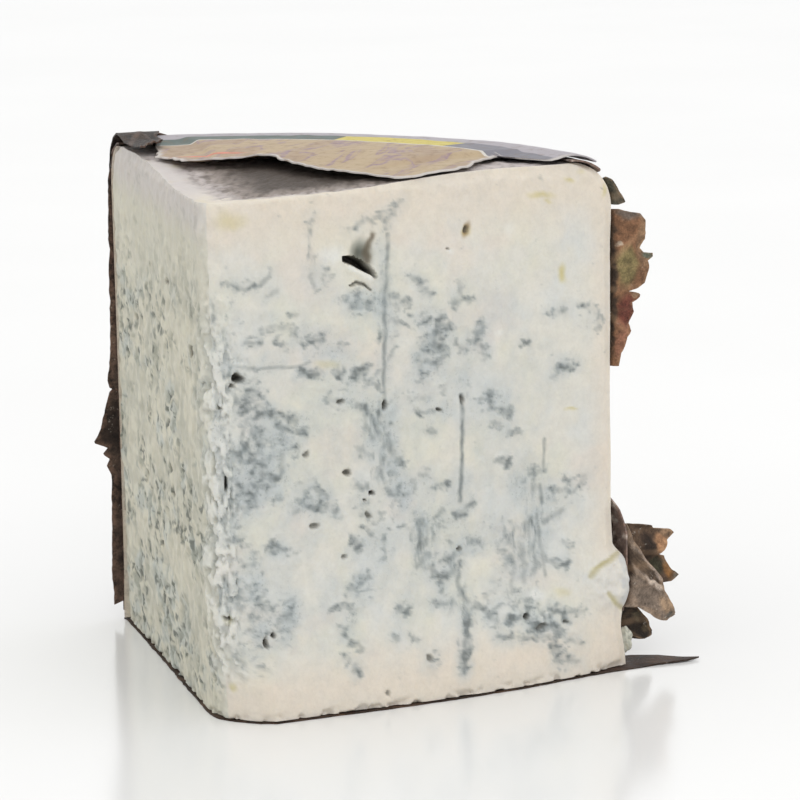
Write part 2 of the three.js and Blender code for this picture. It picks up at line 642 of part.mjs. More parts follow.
const PASTE = { color: '#d8d3c4', roughness: 0.62 };
const DARK_LEAF = { color: '#4a4038', roughness: 0.55 };
const BROWN_LEAF = { color: '#6b5444', roughness: 0.6 };
const TAN_LEAF = { color: '#94724f', roughness: 0.65 };
const PAPER = { color: '#b9a78e', roughness: 0.5 };

const wedge = new THREE.Group();
wedge.position.y = APEX_Y;

function add(name, geometry, looks) {
  const mesh = new THREE.Mesh(geometry, new THREE.MeshStandardMaterial({ ...looks, metalness: 0 }));
  mesh.name = name;
  wedge.add(mesh);
}

add('cheese', pasteGeometry(), PASTE);
add('label', labelSheet(), PAPER);
add('base_leaf', baseSheet(), BROWN_LEAF);
add('wrap_leaf_left', leftWrap(), DARK_LEAF);
add('wrap_leaf_right', rightWrap(), DARK_LEAF);
add('edge_leaf', edgeLeaf(), DARK_LEAF);
add('corner_leaf', cornerLeaf(), DARK_LEAF);
for (const [name, leaf] of Object.entries(WALL_LEAVES)) add(name, wallLeaf(leaf), BROWN_LEAF);
for (const [name, piece] of Object.entries(FLAPS)) add(name, flap(piece), TAN_LEAF);

export default wedge;
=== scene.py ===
"""A wedge of blue cheese in its leaves, with the torn end of a paper label on its top.

Shapes are worked out in millimetres, with the apex of the wedge at the origin, as the wheel was cut:
"round" is a distance round the rim from its middle, "up" one up the wall, over the shoulder and inwards
on the top, "s" one along a cut face from the apex. make_piece turns them into metres.
Colours are given as 0 to 255, as they show on a screen.
"""
import itertools
import math

import bpy
import numpy as np
from mathutils import Matrix, Vector


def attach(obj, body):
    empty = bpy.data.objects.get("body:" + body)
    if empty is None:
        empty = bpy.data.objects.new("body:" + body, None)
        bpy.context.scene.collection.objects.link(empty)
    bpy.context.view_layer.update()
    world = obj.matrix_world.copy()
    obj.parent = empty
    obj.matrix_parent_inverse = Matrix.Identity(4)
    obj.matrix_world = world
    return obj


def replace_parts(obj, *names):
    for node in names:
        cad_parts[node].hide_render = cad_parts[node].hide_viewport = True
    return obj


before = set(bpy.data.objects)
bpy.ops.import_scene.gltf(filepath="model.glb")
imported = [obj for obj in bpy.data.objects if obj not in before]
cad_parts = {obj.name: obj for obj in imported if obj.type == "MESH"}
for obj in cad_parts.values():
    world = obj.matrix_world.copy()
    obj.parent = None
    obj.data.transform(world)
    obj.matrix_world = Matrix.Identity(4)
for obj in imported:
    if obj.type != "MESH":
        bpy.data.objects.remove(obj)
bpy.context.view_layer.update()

# Driving dimensions, in millimetres.
RIM_RADIUS = 88.0
HALF_ANGLE = math.radians(38.4)
APEX_Y = -46.0
PASTE_BOTTOM = 0.4
SHOULDER_Z = 91.7
SHOULDER_RADIUS = 9.0
TIP_TOP_Z = 99.2
CROWN_RISE = 1.8
WAIST = 0.6
TIP_RADIUS = 4.5
TIP_RADIUS_AT_BASE = 9.0
LEAF = 0.45
BASE_LEAF = 0.3
LABEL = 0.4
CLEARANCE = 0.36
LAYER = 0.95
CRINKLE = 0.3

HALF_RIM = RIM_RADIUS * HALF_ANGLE
CROWN_RADIUS = RIM_RADIUS - SHOULDER_RADIUS
CROWN_START = SHOULDER_Z + SHOULDER_RADIUS * math.pi / 2
CROWN_Z = SHOULDER_Z + SHOULDER_RADIUS


# Numbers.

def smooth(x, low, high):
    t = np.clip((x - low) / (high - low), 0, 1)
    return t * t * (3 - 2 * t)


def mix(a, b, share):
    return a + (b - a) * share


def partway(start, end, share):
    """The place at a share of the way between two places, each given by its two coordinates."""
    return mix(start[0], end[0], share), mix(start[1], end[1], share)


def unit(vectors):
    return vectors / np.linalg.norm(vectors, axis=-1, keepdims=True)


def bump(x, y, half_x, half_y):
    """A soft bump of height 1 at its centre that ends at the given half widths."""
    return 1 - smooth(np.hypot(x / half_x, y / half_y), 0.35, 1)


DIRECTIONS = np.array([d for d in itertools.product((-1, 0, 1), repeat=3) if sum(map(abs, d)) == 2])


def noise(x, y, z=0.5, seed=0):
    """Gradient noise at arrays of points, from about -1 to 1."""
    x, y, z = np.broadcast_arrays(*(np.asarray(v, float) for v in (x, y, z)))
    place = np.stack([x, y, z], -1)
    cell = np.floor(place).astype(np.int64)
    inside = place - cell
    fade = inside ** 3 * (inside * (inside * 6 - 15) + 10)
    total = np.zeros(x.shape)
    for corner in itertools.product((0, 1), repeat=3):
        at = cell + corner
        code = at[..., 0] * 374761393 + at[..., 1] * 668265263 + at[..., 2] * 1440662683 + seed * 974634777
        code = (code ^ (code >> 13)) * 1274126177
        code = (code ^ (code >> 16)) & 0xFFFFFFFF
        slope = DIRECTIONS[code % len(DIRECTIONS)]
        weight = np.prod(np.where(corner, fade, 1 - fade), axis=-1)
        total += weight * ((inside - corner) * slope).sum(-1)
    return total


def layered(x, y, seed, octaves=3):
    """Noise with finer and finer detail added."""
    return sum(noise(x * 2 ** k, y * 2 ** k, 0.5, seed + k) * 0.55 ** k for k in range(octaves))


def ragged(along_mm, seed, size=1.0):
    """A torn edge's unevenness at a distance along it."""
    coarse = 0.7 * noise(along_mm / 3.1, 0.5, 0.5, seed)
    return size * (coarse + 0.45 * noise(along_mm / 1.1, 0.5, 0.5, seed + 1))


def turned(x, y, at_x, at_y, turn):
    """Coordinates from a centre, along and across a direction in degrees."""
    c, n = math.cos(math.radians(turn)), math.sin(math.radians(turn))
    return (x - at_x) * c + (y - at_y) * n, (y - at_y) * c - (x - at_x) * n


def blob(x, y, feature, softness=0.35):
    """1 in the middle of an oval given as place, half width, half height and turn, 0 outside it."""
    at_x, at_y, half_x, half_y, turn = feature[:5]
    across, over = turned(x, y, at_x, at_y, turn)
    return 1 - smooth(np.hypot(across / half_x, over / half_y), softness, 1)


def distance_to(x, y, points):
    """Distance to a line through points, and the share of the way along its nearest stretch."""
    nearest, at = np.full(x.shape, np.inf), np.zeros(x.shape)
    for k, ((x0, y0), (x1, y1)) in enumerate(zip(points, points[1:])):
        length = (x1 - x0) ** 2 + (y1 - y0) ** 2
        share = np.clip(((x - x0) * (x1 - x0) + (y - y0) * (y1 - y0)) / length, 0, 1)
        gap = np.hypot(x - mix(x0, x1, share), y - mix(y0, y1, share))
        at = np.where(gap < nearest, k + share, at)
        nearest = np.minimum(nearest, gap)
    return nearest, at


def inside_outline(x, y, outline):
    """Signed distance to a closed outline, positive inside."""
    closed = outline + outline[:1]
    inside = np.zeros(x.shape, bool)
    for (x0, y0), (x1, y1) in zip(closed, closed[1:]):
        crosses = (y0 > y) != (y1 > y)
        level = (x1 - x0) * (y - y0) / (y1 - y0 if y1 != y0 else 1e-9) + x0
        inside ^= crosses & (x < level)
    nearest, _ = distance_to(x, y, closed)
    return np.where(inside, nearest, -nearest)


def evenly(corners, step):
    """Points at about even steps round a closed outline whose corners are rows of numbers, place first."""
    found = []
    for a, b in zip(corners, corners[1:] + corners[:1]):
        count = max(1, round(math.dist(a[:2], b[:2]) / step))
        found += [mix(np.array(a, float), np.array(b, float), k / count) for k in range(count)]
    return np.array(found)


def lay(colour, share, other):
    """A field of colour with another colour laid over it by a share."""
    return colour + (np.asarray(other, float) - colour) * np.clip(share, 0, 1)[..., None]


def filled(colour, like):
    return np.zeros((*np.shape(like), 3)) + colour


# The wheel's outside.

def wall_radius(z):
    waist = WAIST * np.sin(np.pi * np.clip(z / SHOULDER_Z, 0, 1))
    return RIM_RADIUS - waist + 1.2 * (1 - smooth(z, 0, 14))


def radius_at(z):
    rise = np.clip(z - SHOULDER_Z, 0, SHOULDER_RADIUS)
    shoulder = CROWN_RADIUS + np.sqrt(SHOULDER_RADIUS ** 2 - rise ** 2)
    return np.where(z <= SHOULDER_Z, wall_radius(z), shoulder)


def top_height(r):
    droop = (TIP_TOP_Z + CROWN_RISE - CROWN_Z) * smooth(r, 60, CROWN_RADIUS)
    return TIP_TOP_Z + CROWN_RISE * smooth(r, 22, 60) - droop


def on_wheel(round_, up, off):
    """Points at some height off the outside."""
    round_, up, off = np.broadcast_arrays(*(np.asarray(v, float) for v in (round_, up, off)))
    turn = np.clip((up - SHOULDER_Z) / SHOULDER_RADIUS, 0, np.pi / 2)
    on_top = up > CROWN_START
    on_shoulder = up > SHOULDER_Z
    top_radius = CROWN_RADIUS - (up - CROWN_START)
    r = np.where(on_shoulder, CROWN_RADIUS + SHOULDER_RADIUS * np.cos(turn), wall_radius(up))
    z = np.where(on_shoulder, SHOULDER_Z + SHOULDER_RADIUS * np.sin(turn), up)
    r = np.where(on_top, top_radius, r) + np.cos(turn) * off
    z = np.where(on_top, top_height(top_radius), z) + np.sin(turn) * off
    angle = round_ / RIM_RADIUS
    return np.stack([r * np.sin(angle), r * np.cos(angle), z], -1)


def wheel_place(x, y):
    """Distances round the rim and up for points of the top, given in plan."""
    r = np.hypot(x, y)
    over_shoulder = np.arccos(np.clip((r - CROWN_RADIUS) / SHOULDER_RADIUS, 0, 1))
    inwards = CROWN_START + CROWN_RADIUS - r
    up = np.where(r <= CROWN_RADIUS, inwards, SHOULDER_Z + SHOULDER_RADIUS * over_shoulder)
    return np.arctan2(x, y) * RIM_RADIUS, up


def along_face(side):
    return np.array([side * math.sin(HALF_ANGLE), math.cos(HALF_ANGLE)])


def face_normal(side):
    return np.array([side * math.cos(HALF_ANGLE), -math.sin(HALF_ANGLE)])


# How far the foot of the cut faces has spread, by the distance from the apex: positive distances are on
# the face to +X, negative ones on the other.
FOOT = [
    (-88, -0.8), (-60, -1.2), (-8, -1.5), (4, -0.4), (8, 1.2), (11, 2.8), (22, 3.6), (34, 4.8), (50, 5.5),
    (64, 5.4), (76, 4.4), (88, 2.2),
]
FOOT_HEIGHT = 32


def spread(side, s):
    return np.interp(side * s, *zip(*FOOT))


def flare(round_, up):
    """How far everything on the rim stands off it, low beside the +X cut."""
    return 2.2 * smooth(round_, HALF_RIM - 14, HALF_RIM) * bump(0, up - 21, 1, 14)


def slid(round_, up):
    """How far the paste has slid out under the flare: only as the lump low in the corner."""
    return 0.95 * flare(round_, up) * (1 - smooth(up, 21.5, 25))


# Meshes.

def make_piece(node, points, faces, slot, material, masks):
    """Adds a mesh to the scene that stands for a CAD node. masks are numbers or vectors for each point."""
    mesh = bpy.data.meshes.new("fine_" + node)
    places = (np.asarray(points) + [0, APEX_Y, 0]) / 1000
    mesh.vertices.add(len(places))
    mesh.vertices.foreach_set("co", places.ravel())
    sizes = np.concatenate([np.full(len(group), group.shape[1]) for group in faces])
    mesh.loops.add(int(sizes.sum()))
    corners = np.concatenate([group.ravel() for group in faces]).astype(np.int32)
    mesh.loops.foreach_set("vertex_index", corners)
    mesh.polygons.add(len(sizes))
    mesh.polygons.foreach_set("loop_start", np.concatenate([[0], np.cumsum(sizes)[:-1]]).astype(np.int32))
    mesh.update(calc_edges=True)
    mesh.validate()
    for mask, values in masks.items():
        values = np.asarray(to_linear(values) if mask == "tint" else values, np.float32)
        kind, field = ("FLOAT", "value") if values.ndim == 1 else ("FLOAT_VECTOR", "vector")
        mesh.attributes.new(mask, kind, "POINT").data.foreach_set(field, values.ravel())
    mesh.shade_smooth()
    mesh.set_sharp_from_angle(angle=math.radians(60))
    mesh.materials.append(material)
    piece = bpy.data.objects.new("fine_" + node, mesh)
    bpy.context.scene.collection.objects.link(piece)
    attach(piece, "root")
    return piece


def grid_cells(columns, rows, first=0, closed=False):
    """Four-sided cells between rows of points. A closed grid joins its last column to its first."""
    i, j = np.meshgrid(np.arange(columns), np.arange(rows))
    width = columns if closed else columns + 1
    step = (i + 1) % width
    a, b = first + j * width + i, first + j * width + step
    return np.stack([a, b, b + width, a + width], -1).reshape(-1, 4)


def stacked_rings(count, rings):
    """Faces of a closed body of equal rings between a first point and a last one."""
    fan = np.arange(count)
    following = (fan + 1) % count
    last = 1 + (rings - 1) * count
    walls = grid_cells(count, rings - 1, first=1, closed=True)[:, [0, 3, 2, 1]]
    return [np.stack([0 * fan, 1 + fan, 1 + following], -1), walls,
            np.stack([0 * fan + last + count, last + following, last + fan], -1)]


def close_sheet(outer, inner, groups, border):
    """Joins two equal faces into one thin closed solid."""
    count = len(outer)
    faces = [group for cells in groups for group in (cells, cells[:, ::-1] + count)]
    a, b = border, np.roll(border, -1)
    faces.append(np.stack([b, a, a + count, b + count], -1))
    return np.concatenate([outer, inner]), faces


def on_both_faces(masks):
    """Masks given for a thin sheet's outer face, repeated for its inner one."""
    return {name: np.concatenate([values] * 2) for name, values in masks.items()}


def grid_sheet(columns, rows, thickness, point_at):
    """A thin solid on a grid. point_at(i, j, off) places points by their shares of the way, 0 to 1."""
    j, i = np.meshgrid(np.linspace(0, 1, rows + 1), np.linspace(0, 1, columns + 1), indexing="ij")
    i, j = i.ravel(), j.ravel()
    index = np.arange((columns + 1) * (rows + 1)).reshape(rows + 1, columns + 1)
    border = np.concatenate([index[0, :-1], index[:-1, -1], index[-1, :0:-1], index[:0:-1, 0]])
    outer, inner = point_at(i, j, thickness), point_at(i, j, 0.0)
    return *close_sheet(outer, inner, [grid_cells(columns, rows)], border), i, j


def disc_sheet(spokes, shares, thickness, point_at):
    """A thin solid of rings round a centre. point_at(spoke, share, off) places points."""
    ring, spoke = np.meshgrid(shares, np.arange(spokes), indexing="ij")
    spoke = np.concatenate([[0], spoke.ravel()])
    share = np.concatenate([[0], ring.ravel()])
    fan = np.arange(spokes)
    centre = np.stack([np.zeros(spokes, int), 1 + fan, 1 + (fan + 1) % spokes], -1)
    cells = grid_cells(spokes, len(shares) - 1, first=1, closed=True)[:, [0, 3, 2, 1]]
    border = 1 + (len(shares) - 1) * spokes + fan
    outer, inner = point_at(spoke, share, thickness), point_at(spoke, share, 0.0)
    return *close_sheet(outer, inner, [centre, cells], border), spoke, share


# Materials.

def to_linear(values):
    values = np.asarray(values, float) / 255
    return np.where(values <= 0.04045, values / 12.92, ((values + 0.055) / 1.055) ** 2.4)


def linear(r, g, b):
    """A colour given as 0 to 255 on screen, as the shader wants it."""
    return (*(float(v) for v in to_linear([r, g, b])), 1.0)


class Look:
    """A node material and short ways to add nodes to it."""

    def __init__(self, name):
        self.material = bpy.data.materials.new(name)
        self.material.use_nodes = True
        self.nodes = self.material.node_tree.nodes
        self.shader = self.nodes["Principled BSDF"]

    def add(self, kind, inputs, output=0, **settings):
        node = self.nodes.new(kind)
        for key, value in settings.items():
            setattr(node, key, value)
        for key, value in inputs.items():
            self.put(node.inputs[key], value)
        return node.outputs[output]

    def put(self, socket, value):
        if isinstance(value, bpy.types.NodeSocket):
            self.material.node_tree.links.new(value, socket)
        else:
            socket.default_value = value

    def mask(self, name, vector=False):
        return self.add("ShaderNodeAttribute", {}, "Vector" if vector else "Fac", attribute_name=name)

    def math(self, operation, a, b=0.0, c=0.0):
        return self.add("ShaderNodeMath", {0: a, 1: b, 2: c}, operation=operation)

    def plus(self, a, b):
        return self.math("ADD", a, b)

    def times(self, a, b):
        return self.math("MULTIPLY", a, b)

    def apart(self, a, b):
        """How far two values are apart."""
        return self.math("ABSOLUTE", self.math("SUBTRACT", a, b))

    def ramp(self, value, low, high, start=0.0, end=1.0):
        inputs = {"Value": value, "From Min": low, "From Max": high, "To Min": start, "To Max": end}
        return self.add("ShaderNodeMapRange", inputs, interpolation_type="SMOOTHSTEP")

    def noise(self, vector, scale, detail=3.0, roughness=0.55, distortion=0.0):
        inputs = {"Vector": vector, "Scale": scale, "Detail": detail, "Roughness": roughness}
        return self.add("ShaderNodeTexNoise", {**inputs, "Distortion": distortion})

    def blend(self, share, a, b, kind="MIX"):
        """Socket 0 of a colour mix is its share, 6 and 7 are its colours; its colour comes out at 2."""
        node = self.nodes.new("ShaderNodeMix")
        node.data_type = "RGBA"
        node.blend_type = kind
        for socket, value in ((0, share), (6, a), (7, b)):
            self.put(node.inputs[socket], value)
        return node.outputs[2]

    def bump(self, height, distance):
        return self.add("ShaderNodeBump", {"Height": height, "Distance": distance / 1000, "Strength": 1.0})

    def finish(self, **values):
        for key, value in values.items():
            self.put(self.shader.inputs[key.replace("_", " ")], value)
        return self.material


MM = 1000.0  # noise scale that gives features one millimetre wide


# The paste's cut faces.

# Pits on the face to +X: place s, z; half width, half height, turn in degrees, depth.
RIGHT_PITS = [
    (6.7, 66.3, 1.6, 1.0, -10, 2.6), (5.5, 64.9, 0.8, 0.6, 0, 1.4), (1.8, 61.0, 1.0, 0.5, 0, 1.2),
    (3.0, 46.3, 0.6, 1.8, -12, 2.4), (34.4, 41.2, 0.85, 0.75, 0, 1.8), (32.8, 39.7, 0.7, 0.45, 10, 0.9),
    (33.8, 37.0, 1.1, 0.5, -15, 0.9), (29.2, 45.9, 1.2, 0.6, -12, 1.2), (28.0, 59.5, 1.3, 0.65, 8, 1.0),
    (37.1, 58.2, 0.6, 0.95, 0, 1.4), (12.7, 16.6, 0.75, 0.7, 0, 2.2), (11.2, 15.2, 0.5, 1.7, 5, 1.3),
    (2.2, 20.6, 1.1, 0.7, -20, 1.6), (36.0, 1.8, 0.6, 0.8, 20, 0.6), (20.7, 50.3, 0.75, 0.65, 0, 0.8),
    (22.0, 36.5, 1.2, 0.65, -5, 0.9), (27.8, 29.4, 0.7, 0.55, 0, 0.7), (53.6, 57.1, 0.65, 0.95, 0, 1.0),
    (48.9, 55.8, 0.8, 0.5, -25, 1.1), (67.0, 12.8, 0.85, 0.9, 0, 1.5), (70.2, 10.4, 1.5, 0.65, 10, 0.9),
    (75.5, 10.8, 0.8, 0.55, 0, 0.8), (55.5, 90.0, 1.0, 1.0, 30, 1.0), (51.6, 86.8, 0.5, 0.5, 0, 0.5),
    (52.3, 27.8, 0.9, 0.55, 20, 0.9), (45.3, 7.5, 0.8, 1.2, 10, 0.7),
]
LEFT_PITS = [
    (35.0, 43.0, 1.9, 1.1, -8, 2.2), (59.0, 37.3, 2.0, 0.9, -10, 2.0), (12.0, 70.2, 1.8, 1.0, -8, 2.0),
    (32.0, 38.6, 1.3, 0.7, -8, 1.2), (9.0, 62.4, 1.2, 1.1, 0, 1.2), (36.0, 52.2, 1.6, 0.6, -20, 1.2),
    (34.0, 79.8, 2.0, 0.7, -8, 1.0), (50.5, 81.0, 1.8, 0.8, 0, 1.0), (47.0, 25.6, 1.3, 0.8, 0, 1.0),
    (49.5, 10.2, 1.6, 0.7, 0, 1.0), (22.0, 32.0, 1.5, 0.5, -15, 0.9), (66.0, 68.0, 1.4, 0.8, 0, 1.0),
]

# The large eye near the top: black slits of a depth, whose points are place and half width, the dish over
# the first one, a painted shadow down its wall, and the raised lip between them with a painted highlight.
EYE_SLITS = [
    (4.5, (29.6, 86.5, 0.6), (31.5, 86.0, 0.85), (33.4, 84.9, 0.8), (35.0, 83.7, 0.5), (35.9, 82.6, 0.2)),
    (0.8, (30.6, 81.5, 0.2), (31.8, 82.0, 0.35), (33.4, 81.6, 0.35), (35.0, 80.4, 0.2)),
]
EYE_DISH = (33.2, 87.4, 3.2, 3.8, 12)
EYE_WALL = [(35.3, 90.4), (34.9, 88.4), (34.3, 86.2)]
EYE_LIP = [(30.6, 84.9), (32.6, 84.0), (34.6, 82.6)]
BROWN_EYE = (55.5, 90.0, 1.3, 2.2, -25)

# Straight dark tracks of the needles that let air into the cheese: half width, darkness and points.
NEEDLES = [
    (0.5, 0.75, (38.8, 90.5), (38.2, 84), (37.7, 76), (37.4, 67), (37.1, 58.5)),
    (0.5, 0.95, (53.6, 58), (53.9, 51), (53.8, 46), (53.3, 41), (53.2, 37.5)),
    (0.4, 0.6, (72.2, 47.5), (71.8, 44), (71.7, 41)), (0.45, 0.8, (70.9, 38.5), (71.4, 34.8)),
    (0.45, 0.6, (70.1, 33), (70.7, 28), (71.2, 24), (71.6, 20.5)),
    (0.35, 0.5, (6.5, 68.6), (11.5, 67.8), (16, 67.4), (19, 67.2), (21.6, 67.9)),
]

# Veins of mould on the face to +X: darkness and the points they run through.
RIGHT_VEINS = [
    (0.15, (22.9, 95), (22.3, 90), (22.5, 84)), (0.85, (19.8, 66), (23.2, 65.2)),
    (0.6, (27.2, 65.4), (28.3, 64.9)), (0.75, (31, 64.5), (33.2, 65.4)), (0.5, (8.9, 73), (11.2, 72.4)),
    (0.75, (22, 72.3), (24.1, 72)), (0.5, (14.6, 72.8), (16.4, 71.4)), (0.5, (18.8, 73.3), (19.8, 71.3)),
    (0.45, (27.6, 71), (28.6, 70.4)), (0.6, (4.2, 64.8), (6.2, 62.2), (8.8, 60.4)),
    (0.6, (8.8, 63.3), (11.4, 63.5)), (0.8, (16.6, 57.8), (18.6, 57)),
    (0.7, (10, 58.2), (12.5, 59.2), (15.6, 58.4)), (0.7, (15, 56.6), (16.2, 55.9)),
    (0.5, (17, 55.2), (20, 54.5)), (0.6, (8.3, 57.5), (7.2, 54), (8.6, 51)), (0.6, (4.6, 53), (6.6, 51)),
    (0.7, (9.5, 50.4), (11, 47.6), (13.5, 46.6)), (0.5, (15.4, 49.5), (14.6, 46.6)),
    (0.5, (-0.5, 56), (1.6, 55.6)), (0.55, (5, 47.5), (7.6, 45.4), (9.3, 43)),
    (0.7, (3.4, 40.6), (5.6, 41.4)), (0.85, (2.4, 35.5), (5.6, 36.3)),
    (0.6, (5.2, 32), (6.6, 30.6), (9, 30.9)), (0.6, (12, 33.4), (13.4, 33.8), (15.4, 32.6)),
    (0.85, (2.8, 26), (5, 26.8), (5.6, 24.8)), (0.6, (5, 22.7), (6.9, 23)), (0.5, (-1, 24.4), (1, 25.2)),
    (0.5, (13.4, 18.6), (15.4, 19.4), (16.6, 21.4)), (0.45, (15.2, 22), (17, 22.8)),
    (0.8, (18.6, 41.8), (20.6, 40.4), (23.4, 39.6), (26.6, 38.6)), (0.6, (17.4, 39), (18.8, 39.6)),
    (0.7, (31.4, 58.6), (33.6, 56.6), (35.4, 54.6), (36.2, 52)), (0.6, (33, 54), (34.4, 52)),
    (0.6, (35.8, 57), (36.4, 55)), (0.6, (31.6, 50), (34, 48.4)),
    (0.6, (37.6, 52.4), (38.4, 48.6), (40.4, 46)), (0.6, (37.8, 41), (39.4, 40.6)),
    (0.5, (31, 43.6), (33.4, 42.6)), (0.5, (32.8, 34.6), (34.2, 33.4)), (0.5, (29.8, 32.4), (31.2, 30.2)),
    (0.6, (34, 62.6), (36, 61.8)), (0.5, (25.4, 60.4), (27, 59.8)),
    (0.45, (4.4, 84.6), (8.6, 83), (10.6, 83.4)), (0.45, (11.8, 83.4), (13.6, 85)),
    (0.45, (22, 84.2), (23.2, 81.4)), (0.5, (28, 79.4), (31.6, 78.2), (34.8, 77.6)),
    (0.5, (39.6, 78.4), (42.2, 77)), (0.55, (43.2, 82.4), (45.6, 80.4)),
    (0.5, (46.2, 78.4), (47.2, 77.8)), (0.8, (49.2, 73.4), (48.6, 70.8), (47.8, 69), (49.6, 67.4)),
    (0.5, (46.6, 65.6), (48.4, 64.8), (50, 66)), (0.6, (52.2, 76.1), (56.2, 76.8)),
    (0.7, (58.2, 71.4), (57, 68.8), (58.6, 67.2), (59, 65)), (0.5, (53, 68.2), (55, 66.8)),
    (0.5, (68, 66.8), (68.6, 67.2)), (0.8, (76.6, 61.2), (78.8, 61.3)), (0.6, (74, 60), (76, 60.6)),
    (0.6, (58, 57), (58.8, 57)), (0.7, (60.8, 58), (60.2, 55), (64.6, 53.6)),
    (0.5, (64, 49.4), (66.6, 49.6)), (0.6, (61.8, 44.6), (63.6, 44)), (0.5, (46.8, 52.2), (47.8, 51.8)),
    (0.8, (44.3, 34.8), (43.8, 31.4), (45.2, 29.8)), (0.6, (45.8, 28), (43.6, 25.8)),
    (0.6, (28.6, 23.6), (30.8, 23.9), (33.2, 25.2)), (0.5, (39, 19), (40.4, 17.2)),
    (0.45, (26.6, 16.4), (27.8, 14)), (0.45, (29.6, 12.6), (30.8, 11)), (0.6, (29.4, 8.4), (29.5, 7)),
    (0.6, (47.6, 35.2), (49.4, 36.6)), (0.9, (51.8, 35), (53.4, 34.6), (55.6, 36.4)),
    (0.8, (54.6, 29.6), (57.4, 28.8)), (0.6, (52.4, 27.4), (49.8, 26.4)),
    (0.7, (46.6, 25.2), (48, 22.9), (51, 23.4), (52.6, 25.2)),
    (0.7, (52, 23), (53.6, 18), (53.9, 13), (53, 9)), (0.85, (53.4, 8.4), (52.4, 4.6)),
    (0.5, (46.6, 18.6), (49.6, 17.8)), (0.7, (53.6, 16.2), (57, 15.8), (58.4, 14.2), (60.2, 12.6)),
    (0.7, (60.6, 9.8), (63, 9.2)), (0.8, (63.8, 24.6), (64.6, 23)), (0.45, (66.6, 29), (66.8, 20)),
    (0.6, (69, 27), (69.2, 21)), (0.6, (68.8, 40.8), (71.8, 41.2)), (0.6, (76.6, 39.2), (78, 38)),
    (0.6, (73.2, 37), (77, 36.4)), (0.6, (72, 31.2), (75.8, 32.6)), (0.5, (72.2, 23.4), (76, 22)),
    (0.9, (63, 12.6), (66.6, 12.9)), (1.0, (68, 11.4), (70.6, 10), (73, 10.4)),
    (1.0, (72.8, 13.4), (74.8, 12.4), (75.8, 10.8)), (0.5, (66, 8.6), (74, 8.2)),
    (0.5, (75.6, 7), (79.2, 5.8)), (0.5, (72.6, 6.6), (73.8, 2.6)), (0.5, (76, 2.6), (78, 1.9)),
    (0.35, (38.4, 91.5), (39.4, 94.6), (41.2, 96.6)), (0.3, (30.5, 92.6), (33, 93.3), (39.5, 94)),
    (0.4, (12.5, 75), (17.5, 74.9)), (0.35, (3.6, 12.6), (6, 11.8)), (0.3, (9.6, 10.4), (12, 9.6)),
    (0.5, (22.6, 43.2), (24.4, 41.4)), (0.5, (13.6, 81.2), (15, 81.8)), (0.4, (18.2, 77.2), (19.2, 76.8)),
    (0.5, (0.4, 81), (1, 78.2)), (0.35, (39, 74), (41.8, 72.8)), (0.6, (49, 72.2), (51.4, 71.8)),
    (0.6, (45.8, 69.2), (47.6, 69)), (0.4, (45.2, 66), (45.3, 61.6)), (0.35, (53.6, 79.8), (54, 77.6)),
    (0.4, (49.4, 60.2), (50.4, 59.8)), (0.5, (60.2, 51.6), (62, 51.4)), (0.4, (44.6, 55.6), (47.6, 55.8)),
    (0.3, (42, 58.9), (47, 58.6)), (0.4, (25.4, 20.4), (29.4, 19.3)), (0.5, (27.4, 10.2), (28, 9.6)),
    (0.5, (37.6, 13), (38.2, 12.4)), (0.4, (41.4, 12), (42.8, 11.6)), (0.5, (47.8, 41), (50, 40.8)),
    (0.4, (44.6, 43.8), (46, 43.4)), (0.4, (57.8, 18), (59.4, 19.2)), (0.4, (64.2, 22), (64.2, 18)),
    (0.4, (78.4, 35.8), (81.2, 39)), (0.4, (76.4, 26.4), (77.6, 25.6)), (0.7, (67, 13), (67.2, 15.6)),
    (0.8, (73.4, 9.2), (75, 8.6)), (0.3, (76, 13), (80, 12)), (0.25, (80.4, 73), (84, 71.6), (84, 68.6)),
    (0.35, (73.6, 72), (77.2, 72.4)),
]

